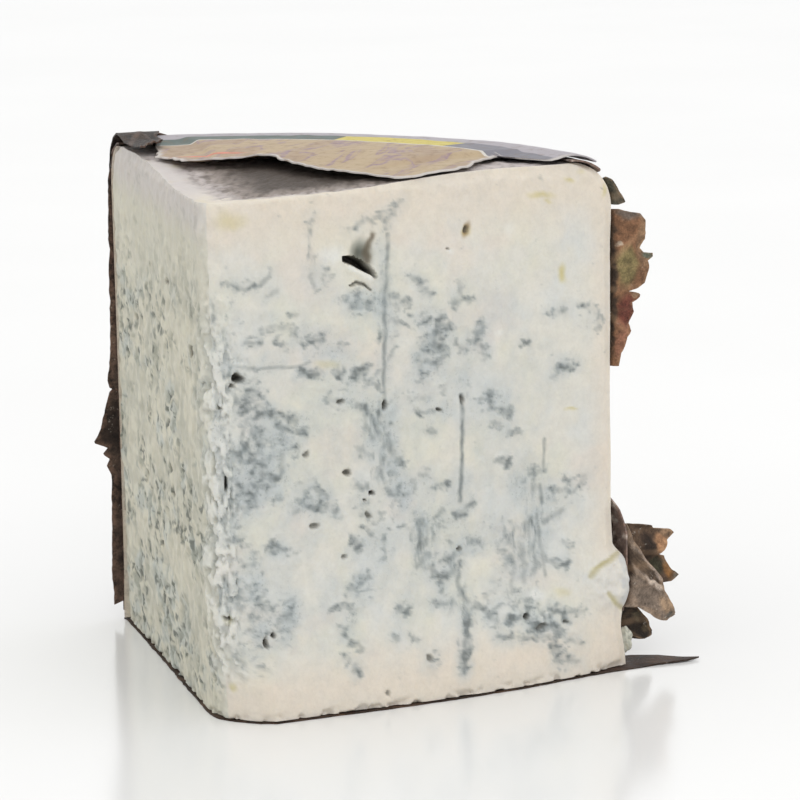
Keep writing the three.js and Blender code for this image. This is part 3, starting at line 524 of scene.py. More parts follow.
# Soft clouds of mould on the face to +X: place, half width, half height, strength.
RIGHT_CLOUDS = [
    (11.5, 52, 6.5, 7.5, 1.0), (7, 60.5, 6, 4, 0.7), (17.5, 54.5, 4.5, 4, 0.6), (8, 67, 6, 4, 0.55),
    (1, 56, 4, 3.5, 0.6), (4, 41, 5, 4.5, 0.85), (8.5, 44, 4, 4, 0.6), (3.5, 36, 5, 2.5, 0.7),
    (7, 31, 4.5, 3, 0.6), (13.8, 33, 3, 2.2, 0.5), (4.5, 26, 5.5, 3.5, 0.9), (8.8, 25.5, 2.6, 3.4, 0.55),
    (11, 17, 7, 5, 0.9), (16.3, 20, 2.8, 3.6, 0.6), (5.5, 13.5, 5, 4, 0.4), (0, 24, 4, 4, 0.5),
    (22, 40.5, 5.5, 2.8, 0.7), (21, 43.5, 4, 2.5, 0.35), (35.5, 54.5, 4.6, 5.6, 0.95),
    (38, 47, 4, 5, 0.8), (39.3, 41, 3.4, 3.6, 0.75), (33.5, 39, 3.6, 5, 0.45), (37.4, 64, 2.6, 8, 0.6),
    (32, 64.3, 4.6, 2, 0.4), (33, 78, 5.5, 2.8, 0.65), (24.5, 83, 4, 5, 0.5), (8, 84.3, 5, 2.4, 0.5),
    (14, 82.5, 3.6, 2.6, 0.35), (48.2, 69, 3.8, 7, 0.6), (45.6, 64, 2.6, 5, 0.5),
    (53.5, 77.5, 4.6, 2.6, 0.4), (58, 68, 3, 4, 0.5), (41, 75, 4.6, 5, 0.4), (60.5, 55.5, 4.4, 4, 0.5),
    (65, 50, 3.6, 2, 0.35), (47.5, 56, 4.6, 2.6, 0.45), (44.2, 31.5, 2.4, 5, 0.7),
    (44, 25.5, 3.4, 3.4, 0.55), (49, 34.5, 6, 3.6, 0.4), (53.5, 28.5, 4.8, 3, 0.6),
    (49, 24, 4.4, 3.6, 0.45), (53.3, 18, 2.8, 6, 0.6), (57, 15, 4.6, 3, 0.6), (53, 7, 2.4, 4.6, 0.65),
    (48, 17.5, 3.4, 2.4, 0.35), (45.5, 7, 3, 3.4, 0.55), (67, 25, 6.4, 7.5, 0.85),
    (70.6, 32, 2.8, 5, 0.7), (76.5, 35.5, 5, 5, 0.4), (75, 23, 3.4, 2.4, 0.45), (70, 11.3, 7.2, 3.6, 1.0),
    (66, 16, 4.6, 3.4, 0.5), (78, 7, 3.6, 2.4, 0.4), (74.5, 4, 3, 3.4, 0.4), (40, 17.5, 3, 3, 0.45),
    (38.5, 12.5, 3, 2.6, 0.4), (31, 24.5, 3.6, 2.4, 0.5), (28, 14.5, 3, 6, 0.4), (30, 30.5, 3, 2.6, 0.35),
    (45, 42, 3.4, 3.4, 0.35), (82.5, 70, 3, 4.6, 0.35), (76.2, 60.6, 3.6, 2, 0.45),
    (37.6, 86, 2.2, 7, 0.5), (52, 40, 4, 3, 0.3), (20, 73, 5, 2.6, 0.35), (36, 32, 4, 6, 0.5),
    (41.5, 37, 3, 6, 0.5), (46, 30, 4, 6, 0.45), (51, 21, 3.6, 6, 0.45), (33, 22, 4, 4, 0.3),
    (13, 44, 5, 4, 0.6), (5, 50, 4, 8, 0.6), (8, 28, 5, 8, 0.4), (12, 22, 5, 5, 0.5), (3, 71, 4, 6, 0.5),
    (5, 79, 4, 5, 0.35), (33, 79.5, 3, 2.4, 0.6), (70, 37, 4, 7, 0.5), (62, 30, 4, 6, 0.4),
    (66, 40, 4, 5, 0.35), (29, 60, 5, 3, 0.35), (38, 74, 2.6, 10, 0.5), (25, 69, 8, 3, 0.35),
    (12, 76, 7, 3, 0.3), (60, 20, 4, 4, 0.35), (54, 62, 3, 4, 0.35), (46, 74, 3, 6, 0.4),
]

# Parts of that face where the mould grows in upright streaks: place, half width, half height, turn.
UPRIGHT_ZONES = [
    (35, 49, 7, 16, 0), (68.5, 31, 9, 16, 0), (52.5, 18, 4.5, 16, 0), (44.5, 32, 5, 12, 0),
    (37.6, 74, 3, 18, 0), (22.4, 88, 4, 10, 0),
]

# Yellow patches and pale glaze on the face to +X: place, half width, half height, turn in degrees, strength.
RIGHT_PATCHES = [
    (5.6, 95.8, 5.4, 2.6, 0, 0.4), (71.8, 95.2, 4.4, 0.9, -8, 0.65), (76.4, 79.6, 1.6, 2.6, 0, 0.8),
    (55.4, 89.8, 1.7, 1.6, 0, 1.0), (86.2, 95.2, 0.8, 2.2, -30, 0.6), (78, 97.4, 1.8, 0.6, -10, 0.7),
    (78.3, 52.6, 2, 0.5, -5, 0.6), (84.6, 21.2, 4, 0.7, 28, 0.9), (86.4, 13.6, 2.4, 0.9, -38, 0.7),
    (2.6, 20.2, 1.9, 1.5, 0, 0.65), (1.6, 7, 1.8, 1.5, 0, 0.65), (25, 67, 4, 1.4, -10, 0.3),
    (73.6, 93.8, 1.6, 0.6, -10, 0.5), (81, 99, 1.4, 0.9, 0, 0.3), (75.5, 16.4, 2.4, 1.4, 0, 0.3),
]
RIGHT_PALE = [
    (26.5, 87.5, 4.4, 3.2, 0, 0.7), (69.6, 16.2, 3.4, 1.6, 0, 0.8), (71.2, 12.5, 2.4, 0.7, 0, 0.8),
    (62, 45.7, 1.6, 0.8, 0, 0.7), (64.5, 88.6, 2, 2, 0, 0.5), (51.9, 86, 1.2, 1.2, 0, 0.6),
    (61.6, 69.6, 1.8, 1.2, 0, 0.6), (0.8, 63.8, 2.2, 3.4, 0, 0.8), (1.2, 50.4, 2.4, 3, 0, 0.8),
    (2, 31.5, 2.4, 2, 0, 0.7), (2.6, 23.8, 2.4, 1.2, 0, 0.8),
]

CREAM = (215, 212, 202)
WARM = (217, 214, 198)
COOL = (210, 211, 207)
PINK = (218, 208, 197)
CUT_EDGE = (220, 208, 192)
VEIL = (182, 189, 190)
MOULD = (122, 130, 131)
DARK_MOULD = (84, 90, 90)
PATCH = (196, 184, 128)
GLAZE = (224, 224, 219)
# Inside the hollows: their mould with painted shade, darker the deeper they are.
HOLE_MOULD_AND_SHADE = (44, 40, 33)
SHALLOW_HOLE_MOULD_AND_SHADE = (112, 110, 102)
EYE_PALE = (172, 176, 166)
EYE_SHADE = (86, 88, 78)
EYE_WALL_SHADOW = (98, 88, 72)
EYE_LIP_HIGHLIGHT = (226, 226, 219)
BROWN_EYE_TINT = (132, 104, 68)
# The face to -X is painted darker than the face to +X: its own greenish tone with painted shade on that whole
# side.
LEFT_PASTE_SHADED = (202, 198, 180)
LEFT_SHADE = (188, 186, 170)
LEFT_UPPER = (202, 198, 181)
LEFT_TOP = (196, 189, 185)
LEFT_VEIL = (178, 186, 184)
LEFT_PALE = (214, 211, 192)
LEFT_MOULD = (140, 143, 130)
LEFT_DARK_MOULD = (88, 92, 84)

CLOUD_SPREAD = 1.45     # how much wider than its half sizes a cloud ends
CLOUD_STRENGTH = 0.66
EYE_DISH_DEPTH = 1.7
EYE_SHADE_Z = 88.6      # below this height the dish of the large eye is in shade
EYE_LIP_HEIGHT = 0.6


def dragged(s, z, seed):
    """Places moved a little, so that what is looked up there has uneven edges."""
    coarse = [0.9 * noise(s / 4, z / 4, 0.5, seed + k) for k in (0, 2)]
    fine = [0.45 * noise(s / 1.3, z / 1.3, 0.5, seed + k) for k in (1, 3)]
    return s + coarse[0] + fine[0], z + coarse[1] + fine[1]


def slit_shape(s, z, points):
    """1 along a slit whose points carry its half width, 0 outside it."""
    gap, at = distance_to(s, z, [point[:2] for point in points])
    half = np.interp(at, np.arange(len(points)), [point[2] for point in points])
    return 1 - smooth(gap / half, 0.45, 1.25)


def dug(tint, depth, shape, deep):
    """Paints and digs a hollow into a face: mould with painted shade, dark where deep, grey where shallow."""
    floor = mix(np.array(SHALLOW_HOLE_MOULD_AND_SHADE), np.array(HOLE_MOULD_AND_SHADE), np.clip(deep - 0.9, 0, 1))
    return lay(tint, shape * min(1, 0.45 + 0.3 * deep), floor), np.maximum(depth, deep * shape)


def right_features(s, z):
    """Colour, mouldiness and depth of the hollows on the face to +X."""
    wide = dragged(s, z, 21)
    fine = partway((s, z), wide, 0.8)
    veil, dabs, cores = right_mould(s, z, wide, fine)
    tint = right_paste(s, z)
    tint = lay(tint, 0.8 * veil, VEIL)
    for feature in RIGHT_PALE:
        tint = lay(tint, feature[5] * blob(*wide, feature, 0.1), GLAZE)
    tint = lay(lay(tint, 0.56 * dabs, MOULD), 0.55 * cores, DARK_MOULD)
    for feature in RIGHT_PATCHES:
        tint = lay(tint, feature[5] * blob(*fine, feature, 0.1), PATCH)
    tint, depth = right_hollows(s, z, wide, fine, tint)
    return tint, np.maximum(veil, dabs), depth


def right_mould(s, z, wide, fine):
    """Mould on the face to +X: its haze, its dabs and their dark cores. wide and fine are dragged places."""
    density = np.zeros(s.shape)
    for at_s, at_z, half_s, half_z, strength in RIGHT_CLOUDS:
        cloud = blob(*wide, (at_s, at_z, CLOUD_SPREAD * half_s, CLOUD_SPREAD * half_z, 0), 0.0)
        density = 1 - (1 - density) * (1 - CLOUD_STRENGTH * strength * cloud)
    mouldy_part = smooth(z, 6, 20) * (1 - smooth(z, 70, 90)) * (1 - smooth(s, 62, 84))
    patchy = smooth(layered(wide[0] / 9, wide[1] / 13, 97), -0.4, 0.3)
    veil = 1.35 * density + 0.35 * mouldy_part * patchy
    broken = np.clip(0.7 + 0.9 * noise(s / 1.2, z / 1.6, 0.5, 29), 0.1, 1)
    thread = np.zeros(s.shape)
    for darkness, *points in RIGHT_VEINS:
        gap, _ = distance_to(*fine, points)
        density = np.maximum(density, (0.2 + 0.76 * darkness) * (1 - smooth(gap, 0.2, 2.2)))
        veil = np.maximum(veil, 0.7 * darkness * (1 - smooth(gap, 0.5, 3.6)))
        thread = np.maximum(thread, darkness * broken * (1 - smooth(gap, 0.1, 0.85)))
    grain = mould_grain(s, z, fine, density)
    dabs = np.maximum(smooth(grain, 0.25, 1.25), 0.95 * thread)
    cores = np.maximum(smooth(grain, 0.9, 1.6), 0.5 * thread)
    for half, darkness, *points in NEEDLES:
        gap, _ = distance_to(*partway((s, z), wide, 0.3), points)
        track = darkness * (0.3 + 0.7 * broken) * (1 - smooth(gap, 0.15 * half, 1.4 * half))
        dabs = np.maximum(dabs, track)
        cores = np.maximum(cores, 0.6 * track)
    return np.clip(veil + 0.3 * layered(s / 3, z / 3.5, 80) * (0.4 + veil), 0, 1), dabs, cores


def mould_grain(s, z, fine, density):
    """Grain of the mould, higher where it is denser: level dabs, but upright streaks in some zones."""
    upright = np.maximum.reduce([blob(s, z, zone, 0.3) for zone in UPRIGHT_ZONES])
    level_dabs = layered(fine[0] / 1.6, fine[1] / 1.1, 25)
    streaks = layered(fine[0] / 0.9, fine[1] / 3.2, 23)
    grain = mix(level_dabs, streaks, 0.8 * upright)
    grain = 0.95 * grain + 0.35 * layered(s / 3.2, z / 3.6, 27, 2) + 1.1 * density
    return grain - 0.4 * (1 - smooth(density, 0, 0.3))


def right_paste(s, z):
    """Colour of the bare paste of the face to +X: drier along its edges."""
    tone = layered(s / 9, z / 12, 90)
    tint = lay(filled(CREAM, s), 0.7 * smooth(tone, 0, 0.6), WARM)
    tint = lay(tint, 0.7 * smooth(-tone, 0, 0.6), COOL)
    tint = lay(tint, 0.5 * smooth(layered(s / 14, z / 12, 95), 0.1, 0.6), PINK)
    tint = lay(tint, 0.7 * np.maximum(smooth(-z, -14, -4), smooth(z, 84, 97)), CUT_EDGE)
    return lay(tint, 0.7 * smooth(s, 80, 87), CUT_EDGE)


def right_hollows(s, z, wide, fine, tint):
    """The large eye, the pits and the brown eye of the face to +X: its colour with them, and their depth."""
    dish = blob(*partway((s, z), wide, 0.4), EYE_DISH, 0.0)
    depth = EYE_DISH_DEPTH * dish
    shaded = smooth(EYE_SHADE_Z - z, -3, 3)[..., None]
    tint = lay(tint, dish, mix(filled(EYE_PALE, s), filled(EYE_SHADE, s), shaded))
    # Painted shadow down the wall of the dish.
    tint = lay(tint, 0.75 * (1 - smooth(distance_to(*wide, EYE_WALL)[0], 0.1, 1.1)), EYE_WALL_SHADOW)
    tint = lay(tint, 0.85 * blob(*fine, BROWN_EYE, 0.1), BROWN_EYE_TINT)
    for pit in RIGHT_PITS:
        tint, depth = dug(tint, depth, blob(*fine, pit), pit[5])
    for deep, *points in EYE_SLITS:
        tint, depth = dug(tint, depth, slit_shape(*partway((s, z), wide, 0.25), points), deep)
    # The raised lip is painted paler than the paste around it: a painted highlight.
    lip = 1 - smooth(distance_to(s, z, EYE_LIP)[0], 0.2, 1.3)
    return lay(tint, 0.7 * lip, EYE_LIP_HIGHLIGHT), depth - EYE_LIP_HEIGHT * lip


def left_features(s, z):
    """The same on the face to -X: greenish, in painted shade, crumbly and pitted, smoother towards the top.
    """
    wide_s, wide_z = dragged(s, z, 31)
    tint = lay(filled(LEFT_PASTE_SHADED, s), smooth(layered(s / 12, z / 14, 33), -0.3, 0.4), LEFT_SHADE)
    tint = lay(tint, 0.8 * smooth(z, 72, 90), LEFT_UPPER)
    tint = lay(tint, 0.8 * smooth(z + 2 * noise(s / 6, 0.5, 0.5, 34), 90, 97), LEFT_TOP)
    zone = smooth(layered(wide_s / 15, wide_z / 9, 35), -0.35, 0.3) * (1 - 0.85 * smooth(z, 66, 86))
    tint = lay(tint, 0.55 * zone * smooth(layered(wide_s / 9, wide_z / 5, 38), -0.1, 0.4), LEFT_VEIL)
    flecks = layered(wide_s / 2.9, wide_z / 2.1, 36) + 0.35 * layered(s / 1.6, z / 5, 39, 2)
    flecks = flecks * (1 - 0.7 * smooth(z, 80, 94))
    dark = smooth(flecks, 0.08, 0.5) * mix(0.25, 1, zone)
    tint = lay(tint, 0.55 * smooth(-flecks, 0.1, 0.5), LEFT_PALE)
    tint = lay(tint, 0.6 * dark, LEFT_MOULD)
    cores = smooth(layered(wide_s / 2.2, wide_z / 1.7, 42), 0.22, 0.5)
    tint = lay(tint, 0.75 * zone * cores, LEFT_DARK_MOULD)
    # Near the tip the painted shade fades into the cream of the face to +X.
    tint = lay(tint, 0.5 * (1 - smooth(wide_s, -1, 6)), CREAM)
    depth = 0.3 * dark
    for pit in LEFT_PITS:
        tint, depth = dug(tint, depth, blob(wide_s, wide_z, pit), pit[5])
    return tint, np.clip(0.3 * zone + 0.7 * dark, 0, 1), depth


def crumbled(side, s, z):
    """Share by which the tip has crumbled at a place, and how much of that place is a crumb that stands."""
    ridge = smooth(z, 3, 14) * (1 - 0.85 * smooth(z, 68, 86))
    uneven = layered(side * s / 2.0, z / 2.6, 17)
    frayed = s + 5 * noise(z / 4, s / 6, side, 18) + 2 * noise(z / 1.4, s / 2, side, 20)
    return ridge * (1 - smooth(frayed, 0.5, 9.5)), smooth(uneven, -0.3, 0.2)


def paste_relief(side, s, z, mould):
    """Height of the cut's relief: wavy to +X, dragged upwards by the knife to -X, crumbly along the tip."""
    unrolled = side * s
    inside = smooth(z, 0, 4) * (1 - smooth(z, 94, 100))
    waves = 0.32 * noise(unrolled / 17, z / 15, 0.5, 1) + 0.18 * noise(unrolled / 6, z / 7, 0.5, 2)
    drag = np.where(side < 0, 0.4 * noise(s / 2.6, z / 3, 0.5, 3) + 0.18 * noise(s / 1.2, z / 2, 0.5, 4), 0)
    rough = (0.05 + 0.3 * mould) * layered(unrolled / 1.6, z / 1.6, 5, 2)
    tip, crumb = crumbled(side, s, z)
    crumbs = tip * (0.9 * crumb - 0.55 + 0.35 * noise(unrolled / 1.1, z / 1.1, 0.5, 7))
    at_lump = np.where(side > 0, bump(s - 86, z - LUMP_Z, 7, 7), 0)
    lump = at_lump * (1.3 + 0.5 * noise(s / 1.2, z / 1.2, 0.5, 8))
    chips = 0.7 * (1 - smooth(z, 0.6, 2.2)) * smooth(layered(unrolled / 2.4, z / 2, 19, 2), -0.05, 0.4)
    return inside * (waves + drag + rough + crumbs) + lump - chips


# The lump low on the face to +X beside the rim: the height of its middle, and the cracks round it.
LUMP_Z = 17.5
LUMP_CRACKS = [[(81.2, 19.2), (83.2, 20.9), (88.5, 22.8)], [(84.6, 15.6), (86.2, 13.4), (89, 11.6)]]

# The rind shows on the top in front of the label, in a tongue that points to the tip. Its outline in plan:
RIND_TONGUE = [
    (-26, 44), (-18, 31), (-6, 17), (1.5, 7.5), (7, 11), (14, 20.5), (26, 31), (36, 43), (0, 80),
]
RIND_EDGE = (188, 179, 176)
RIND = (146, 136, 129)
RIND_SHADOW_AND_STREAKS = (80, 72, 66)
RIM_PASTE = (206, 190, 170)
# Painted shade in the tip's hollows and painted light on its crumbs.
TIP_HOLLOW_SHADE = (182, 186, 182)
TIP_CRUMB_LIGHT = (218, 218, 211)
LUMP_TINT = (211, 211, 207)
LUMP_CRUMBS = (190, 191, 191)
LUMP_CRACK_TINT = (172, 162, 118)
TOP_LEFT = (198, 191, 187)
TOP_RIGHT = (213, 204, 190)
TOP_STAIN = (206, 196, 168)
CRUMB_TINT = (192, 191, 177)
CRUMB_SHADE = (160, 160, 148)
MOULD_SPOTS = (118, 124, 124)
RIND_STRIPES = (84, 76, 70)

WALL_LEVELS = 270
SHOULDER_LEVELS = 30
TOP_RINGS = 52
RIM_COLUMNS = 34
RIGHT_COLUMNS = 262
TIP_COLUMNS = 34
LEFT_COLUMNS = 180
CAP_CENTRE = np.array([0.0, 52.0])
BOTTOM_RINGS = (0.35, 0.75)
CRUMB_HALF_SIZES = np.array([1.7, 1.6, 2.1])
CRUMB_OFF_RIM = 1.9
CRUMB_Z = 5.0


def paste_levels():
    """Points of the paste's outline at every level, their direction out, place along the cut and side."""
    turn = np.linspace(0, np.pi / 2, SHOULDER_LEVELS + 1)[1:]
    wall = np.linspace(PASTE_BOTTOM, SHOULDER_Z, WALL_LEVELS)
    z = np.concatenate([wall, SHOULDER_Z + SHOULDER_RADIUS * np.sin(turn)])[:, None]
    radius = radius_at(z)
    tip_radius = mix(TIP_RADIUS_AT_BASE, TIP_RADIUS, smooth(z, 0, 22))
    tangent = tip_radius / math.tan(HALF_ANGLE)
    parts = []

    def add(x, y, nx, ny, s, side, cut):
        parts.append([np.broadcast_to(v, (len(z), np.shape(x)[1])) for v in (x, y, nx, ny, s, side, cut)])

    def add_rim(start, end):
        angle = np.linspace(start, end, RIM_COLUMNS, endpoint=False)[None, :] + 0 * z
        reach = radius + slid(angle * RIM_RADIUS, z)
        nx, ny = np.sin(angle), np.cos(angle)
        add(reach * nx, reach * ny, nx, ny, radius, np.sign(start + end), 0)

    def add_face(side, start, end, columns):
        s = mix(start, end, np.linspace(0, 1, columns, endpoint=False)[None, :])
        (ax, ay), (nx, ny) = along_face(side), face_normal(side)
        add(ax * s, ay * s, nx + 0 * s, ny + 0 * s, s, side, 1)

    add_rim(0, HALF_ANGLE)
    add_face(1, radius + slid(HALF_RIM, z), tangent, RIGHT_COLUMNS)
    across = np.linspace(1, -1, TIP_COLUMNS, endpoint=False)[None, :] + 0 * z
    out = across * (np.pi / 2 - HALF_ANGLE)
    centre = tip_radius / math.sin(HALF_ANGLE)
    add(tip_radius * np.sin(out), centre - tip_radius * np.cos(out), np.sin(out), -np.cos(out),
        tangent * np.abs(across), np.where(across >= 0, 1, -1), 1)
    add_face(-1, tangent, radius, LEFT_COLUMNS)
    add_rim(-HALF_ANGLE, 0)
    x, y, nx, ny, s, side, cut = (np.concatenate(columns, 1) for columns in zip(*parts))
    drop = CROWN_Z - top_height(np.minimum(np.hypot(x, y), CROWN_RADIUS))
    z = z - drop * smooth(z, 60, CROWN_Z)
    return x, y, z, nx, ny, s, side, cut


def cut_faces(s, z, side, cut):
    """Colour, mouldiness and distance out of the paste's levels. The foot has carried its mould with it."""
    foot = spread(side, s) * (1 - smooth(z, 0, FOOT_HEIGHT))
    tint, mould, depth = filled(RIM_PASTE, s), np.zeros(s.shape), np.zeros(s.shape)
    for value, features in ((1, right_features), (-1, left_features)):
        chosen = (side == value) & (cut > 0)
        shift = np.maximum(foot[chosen], 0)
        found = features(s[chosen] + 0.36 * shift, z[chosen] - 0.27 * shift)
        tint[chosen], mould[chosen], depth[chosen] = found
    tip, crumb = crumbled(side, s, z)
    # Along the tip the standing crumbs are painted light and the hollows between them painted shade.
    crumbs = mix(filled(TIP_HOLLOW_SHADE, s), filled(TIP_CRUMB_LIGHT, s), crumb[..., None])
    tint = lay(tint, 0.7 * tip * cut * mix(0.6, 1, crumb), crumbs)
    at_lump = np.where((side > 0) & (cut > 0), bump(s - 86.5, z - LUMP_Z, 7.5, 7.5), 0)
    tint = lay(tint, 0.6 * at_lump, LUMP_TINT)
    crumbly = smooth(s + 1.5 * layered(s / 1.5, z / 1.5, 6, 2), 87.6, 89.4)
    tint = lay(tint, 0.7 * crumbly * smooth(at_lump, 0, 0.4), LUMP_CRUMBS)
    cracks = sum(1 - smooth(distance_to(s, z, points)[0], 0.1, 0.75) for points in LUMP_CRACKS)
    cracks = cracks * (at_lump > 0)
    tint = lay(tint, 0.55 * cracks, LUMP_CRACK_TINT)
    uneven = 0.35 * noise(s / 2, z / 2, 0.5, 9) * smooth(z, 95, 99)
    worn = 0.5 * smooth(z, CROWN_Z - 2.2, CROWN_Z - 0.4) + uneven
    corner = 0.9 * smooth(s, radius_at(z) - 2.2, radius_at(z)) * (1 - at_lump)
    out = foot + paste_relief(side, s, z, mould) - depth - 0.3 * cracks - worn - corner
    return tint, mould, out * cut


def paste_top(px, py):
    """Colour, share of rind and height of the paste's top at places in plan."""
    warp = 1.3 * noise(px / 4, py / 4, 0.5, 11) + 0.5 * noise(px / 1.3, py / 1.3, 0.5, 12)
    deep = inside_outline(px, py, RIND_TONGUE) + warp
    start = np.where(px < 0, -2.5, -0.6)
    rind = np.maximum(smooth(deep, start, start + 3.5), smooth(np.hypot(px, py), 50, 56))
    striped = layered(px / 1.2 + py / 3, py / 4 - px / 9, 13)
    cream = mix(filled(TOP_LEFT, px), filled(TOP_RIGHT, px), smooth(px, -14, 2)[..., None])
    tint = lay(cream, 0.4 * smooth(noise(px / 5, py / 5, 0.5, 16), 0.1, 0.5), TOP_STAIN)
    tint = lay(tint, rind, RIND_EDGE)
    tint = lay(tint, smooth(deep + striped, 0.8, 5), RIND)
    # Further into the tongue, towards and under the label's edge, the rind is darkened by a painted shadow of
    # the label.
    tint = lay(tint, smooth(deep + 2 * striped, 4, 12), RIND_SHADOW_AND_STREAKS)
    # The same dark colour also draws the rind's streaks.
    tint = lay(tint, 0.35 * rind * smooth(striped, 0.05, 0.6), RIND_SHADOW_AND_STREAKS)
    wrinkles = 0.3 * noise(px / 2.2, py / 2.2, 0.5, 13) + 0.14 * noise(px / 0.9, py / 0.9, 0.5, 14)
    waves = 0.15 * (1 - rind) * noise(px / 3, py / 3, 0.5, 15)
    return tint, rind, top_height(np.hypot(px, py)) + rind * (wrinkles - 0.25) - waves


def make_cheese(material):
    x, y, z, nx, ny, s, side, cut = paste_levels()
    levels, count = x.shape
    tint, mould, out = cut_faces(s, z, side, cut)
    wall = np.stack([x + nx * out, y + ny * out, z], -1)
    edge = wall[-1]
    shares = np.linspace(1, 0, TOP_RINGS, endpoint=False)[1:, None]
    px, py = (mix(CAP_CENTRE[k], edge[None, :, k], shares) for k in (0, 1))
    top_tint, rind, height = paste_top(px, py)
    height = mix(height, edge[None, :, 2], smooth(shares, 0.97, 1))
    tint[-1] = mix(tint[-1], top_tint[0], 0.5)
    floor = np.full(count, PASTE_BOTTOM)
    bottom = [np.stack([*mix(CAP_CENTRE, wall[0, :, :2], share).T, floor], -1) for share in BOTTOM_RINGS]
    points = np.concatenate([[[*CAP_CENTRE, PASTE_BOTTOM]], *bottom, *wall, *np.stack([px, py, height], -1),
                             [[*CAP_CENTRE, float(top_height(CAP_CENTRE[1]))]]])
    under = np.zeros(1 + len(bottom) * count)
    colours = [filled(CREAM, under), tint.reshape(-1, 3), top_tint.reshape(-1, 3), [RIND_SHADOW_AND_STREAKS]]
    masks = {
        "tint": np.concatenate(colours),
        "mould": np.concatenate([under, mould.ravel(), np.zeros(rind.size + 1)]),
        "rind": np.concatenate([under, (1 - cut).ravel(), rind.ravel(), [1]]),
    }
    faces = stacked_rings(count, len(bottom) + levels + len(shares))
    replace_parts(make_piece("cheese", points, faces, "cheese", material, masks), "cheese")


def make_crumb(material):
    """The two-lobed crumb of paste that sticks out low at the corner of the +X cut and the rim."""
    rings, spokes = 24, 36
    across = np.linspace(-np.pi / 2, np.pi / 2, rings + 1)[1:-1]
    lat, lon = np.meshgrid(across, np.linspace(0, 2 * np.pi, spokes, endpoint=False), indexing="ij")
    ball = np.stack([np.cos(lat) * np.cos(lon), np.cos(lat) * np.sin(lon), np.sin(lat)], -1).reshape(-1, 3)
    ball = np.concatenate([[[0, 0, -1]], ball, [[0, 0, 1]]])
    x, y, z = ball.T
    size = 0.72 + 0.4 * np.abs(z) + 0.3 * noise(x * 1.4, y * 1.4, z * 1.4, 150)
    size = size + 0.14 * noise(x * 4, y * 4, z * 4, 151)
    centre = [*(along_face(1) * (RIM_RADIUS + CRUMB_OFF_RIM)), CRUMB_Z]
    points = ball * size[:, None] * CRUMB_HALF_SIZES + centre
    faces = [group[:, ::-1] for group in stacked_rings(spokes, rings - 1)]
    shade = smooth(noise(x * 3, y * 3, z * 3, 152), 0, 0.4)
    masks = {"tint": lay(filled(CRUMB_TINT, x), shade, CRUMB_SHADE), "mould": np.full(len(x), 0.3),
             "rind": np.zeros(len(x))}
    make_piece("crumb", points, faces, "cheese", material, masks)


def cheese_look():
    look = Look("blue_cheese_paste")
    at = look.add("ShaderNodeTexCoord", {}, "Object")
    mould, rind = look.mask("mould"), look.mask("rind")
    medium = look.noise(at, 0.45 * MM, 4, 0.6)
    fine = look.noise(at, 1.5 * MM, 4, 0.65)
    shade = look.plus(look.ramp(medium, 0.3, 0.7, 0.96, 1.02), look.ramp(fine, 0.3, 0.7, -0.03, 0.03))
    colour = look.blend(1.0, look.mask("tint", vector=True), shade, "MULTIPLY")
    spots = look.times(look.ramp(fine, 0.54, 0.68), look.ramp(mould, 0.1, 0.9, 0.02, 0.4))
    colour = look.blend(spots, colour, linear(*MOULD_SPOTS))
    stretched = look.add("ShaderNodeMapping", {"Vector": at, "Scale": (1, 0.35, 1)})
    stripes = look.ramp(look.noise(stretched, 0.6 * MM, 5, 0.7), 0.45, 0.65, 0, 0.35)
    colour = look.blend(look.times(rind, stripes), colour, linear(*RIND_STRIPES))
    relief = look.math("MULTIPLY_ADD", fine, 0.7, look.times(look.noise(at, 3.2 * MM, 3), 0.35))
    rough = look.plus(look.ramp(fine, 0.3, 0.7, 0.42, 0.6), look.times(rind, 0.2))
    return look.finish(
        Base_Color=colour, Roughness=rough, Normal=look.bump(relief, 0.1), Specular_IOR_Level=0.35,
        Subsurface_Weight=0.2, Subsurface_Radius=(0.0030, 0.0025, 0.0018), Subsurface_Scale=1.0)


# Leaves lie on the wheel in levels. Level 0 is next to the rim, and all levels follow one crinkle, which
# is flatter on the top and at the cuts. Low beside the +X cut the whole pile stands off the rim.

def pile_height(round_, up, level):
    pressed = 1 - 0.85 * smooth(np.abs(round_), HALF_RIM - 9, HALF_RIM - 1)
    flat = pressed * (1 - 0.6 * smooth(up, SHOULDER_Z, CROWN_START))
    crinkle = CRINKLE * flat * (1 + noise(round_ / 13, up / 12, 0.5, 50))
    return CLEARANCE + crinkle + flare(round_, up) + LAYER * level


def climb(round_, up):
    return (1 - smooth(round_, 12, 26)) * (1 - smooth(up, 78, 91))


def part(up):
    return smooth(up, 58, 76)


def label_level(round_, r):
    ends = smooth(np.abs(round_), 34, 46)
    return smooth(r, mix(40, 72, ends), mix(54, 79, ends))


VEIN_SPREAD = math.radians(36)
VEIN_GAP = 8.5
VEIN_SLANT = 1.15
SUNK = 0.1  # how far a leaf's wrinkles start below its nominal height


def vein_height(x, y):
    """Raised veins of a leaf at places across and along it from its stalk: one fan of main veins, with
    side veins that leave them at even gaps, all a little wavy."""
    x = x + 0.9 * noise(x / 7, y / 7, 0.5, 51)
    angle, reach = np.arctan2(x, y), np.hypot(x, y)
    off = angle - np.clip(np.round(angle / VEIN_SPREAD), -3, 3) * VEIN_SPREAD
    away, on = np.abs(reach * np.sin(off)), reach * np.cos(off)
    step = (on - VEIN_SLANT * away) / VEIN_GAP
    side = 1 - smooth(np.abs(step - np.round(step)) * VEIN_GAP, 0.2, 0.9)
    fading = smooth(layered(x / 5, y / 5, 52, 2), -0.5, 0.3)
    return np.maximum(1 - smooth(away, 0.3, 1.1), 0.55 * side * fading)


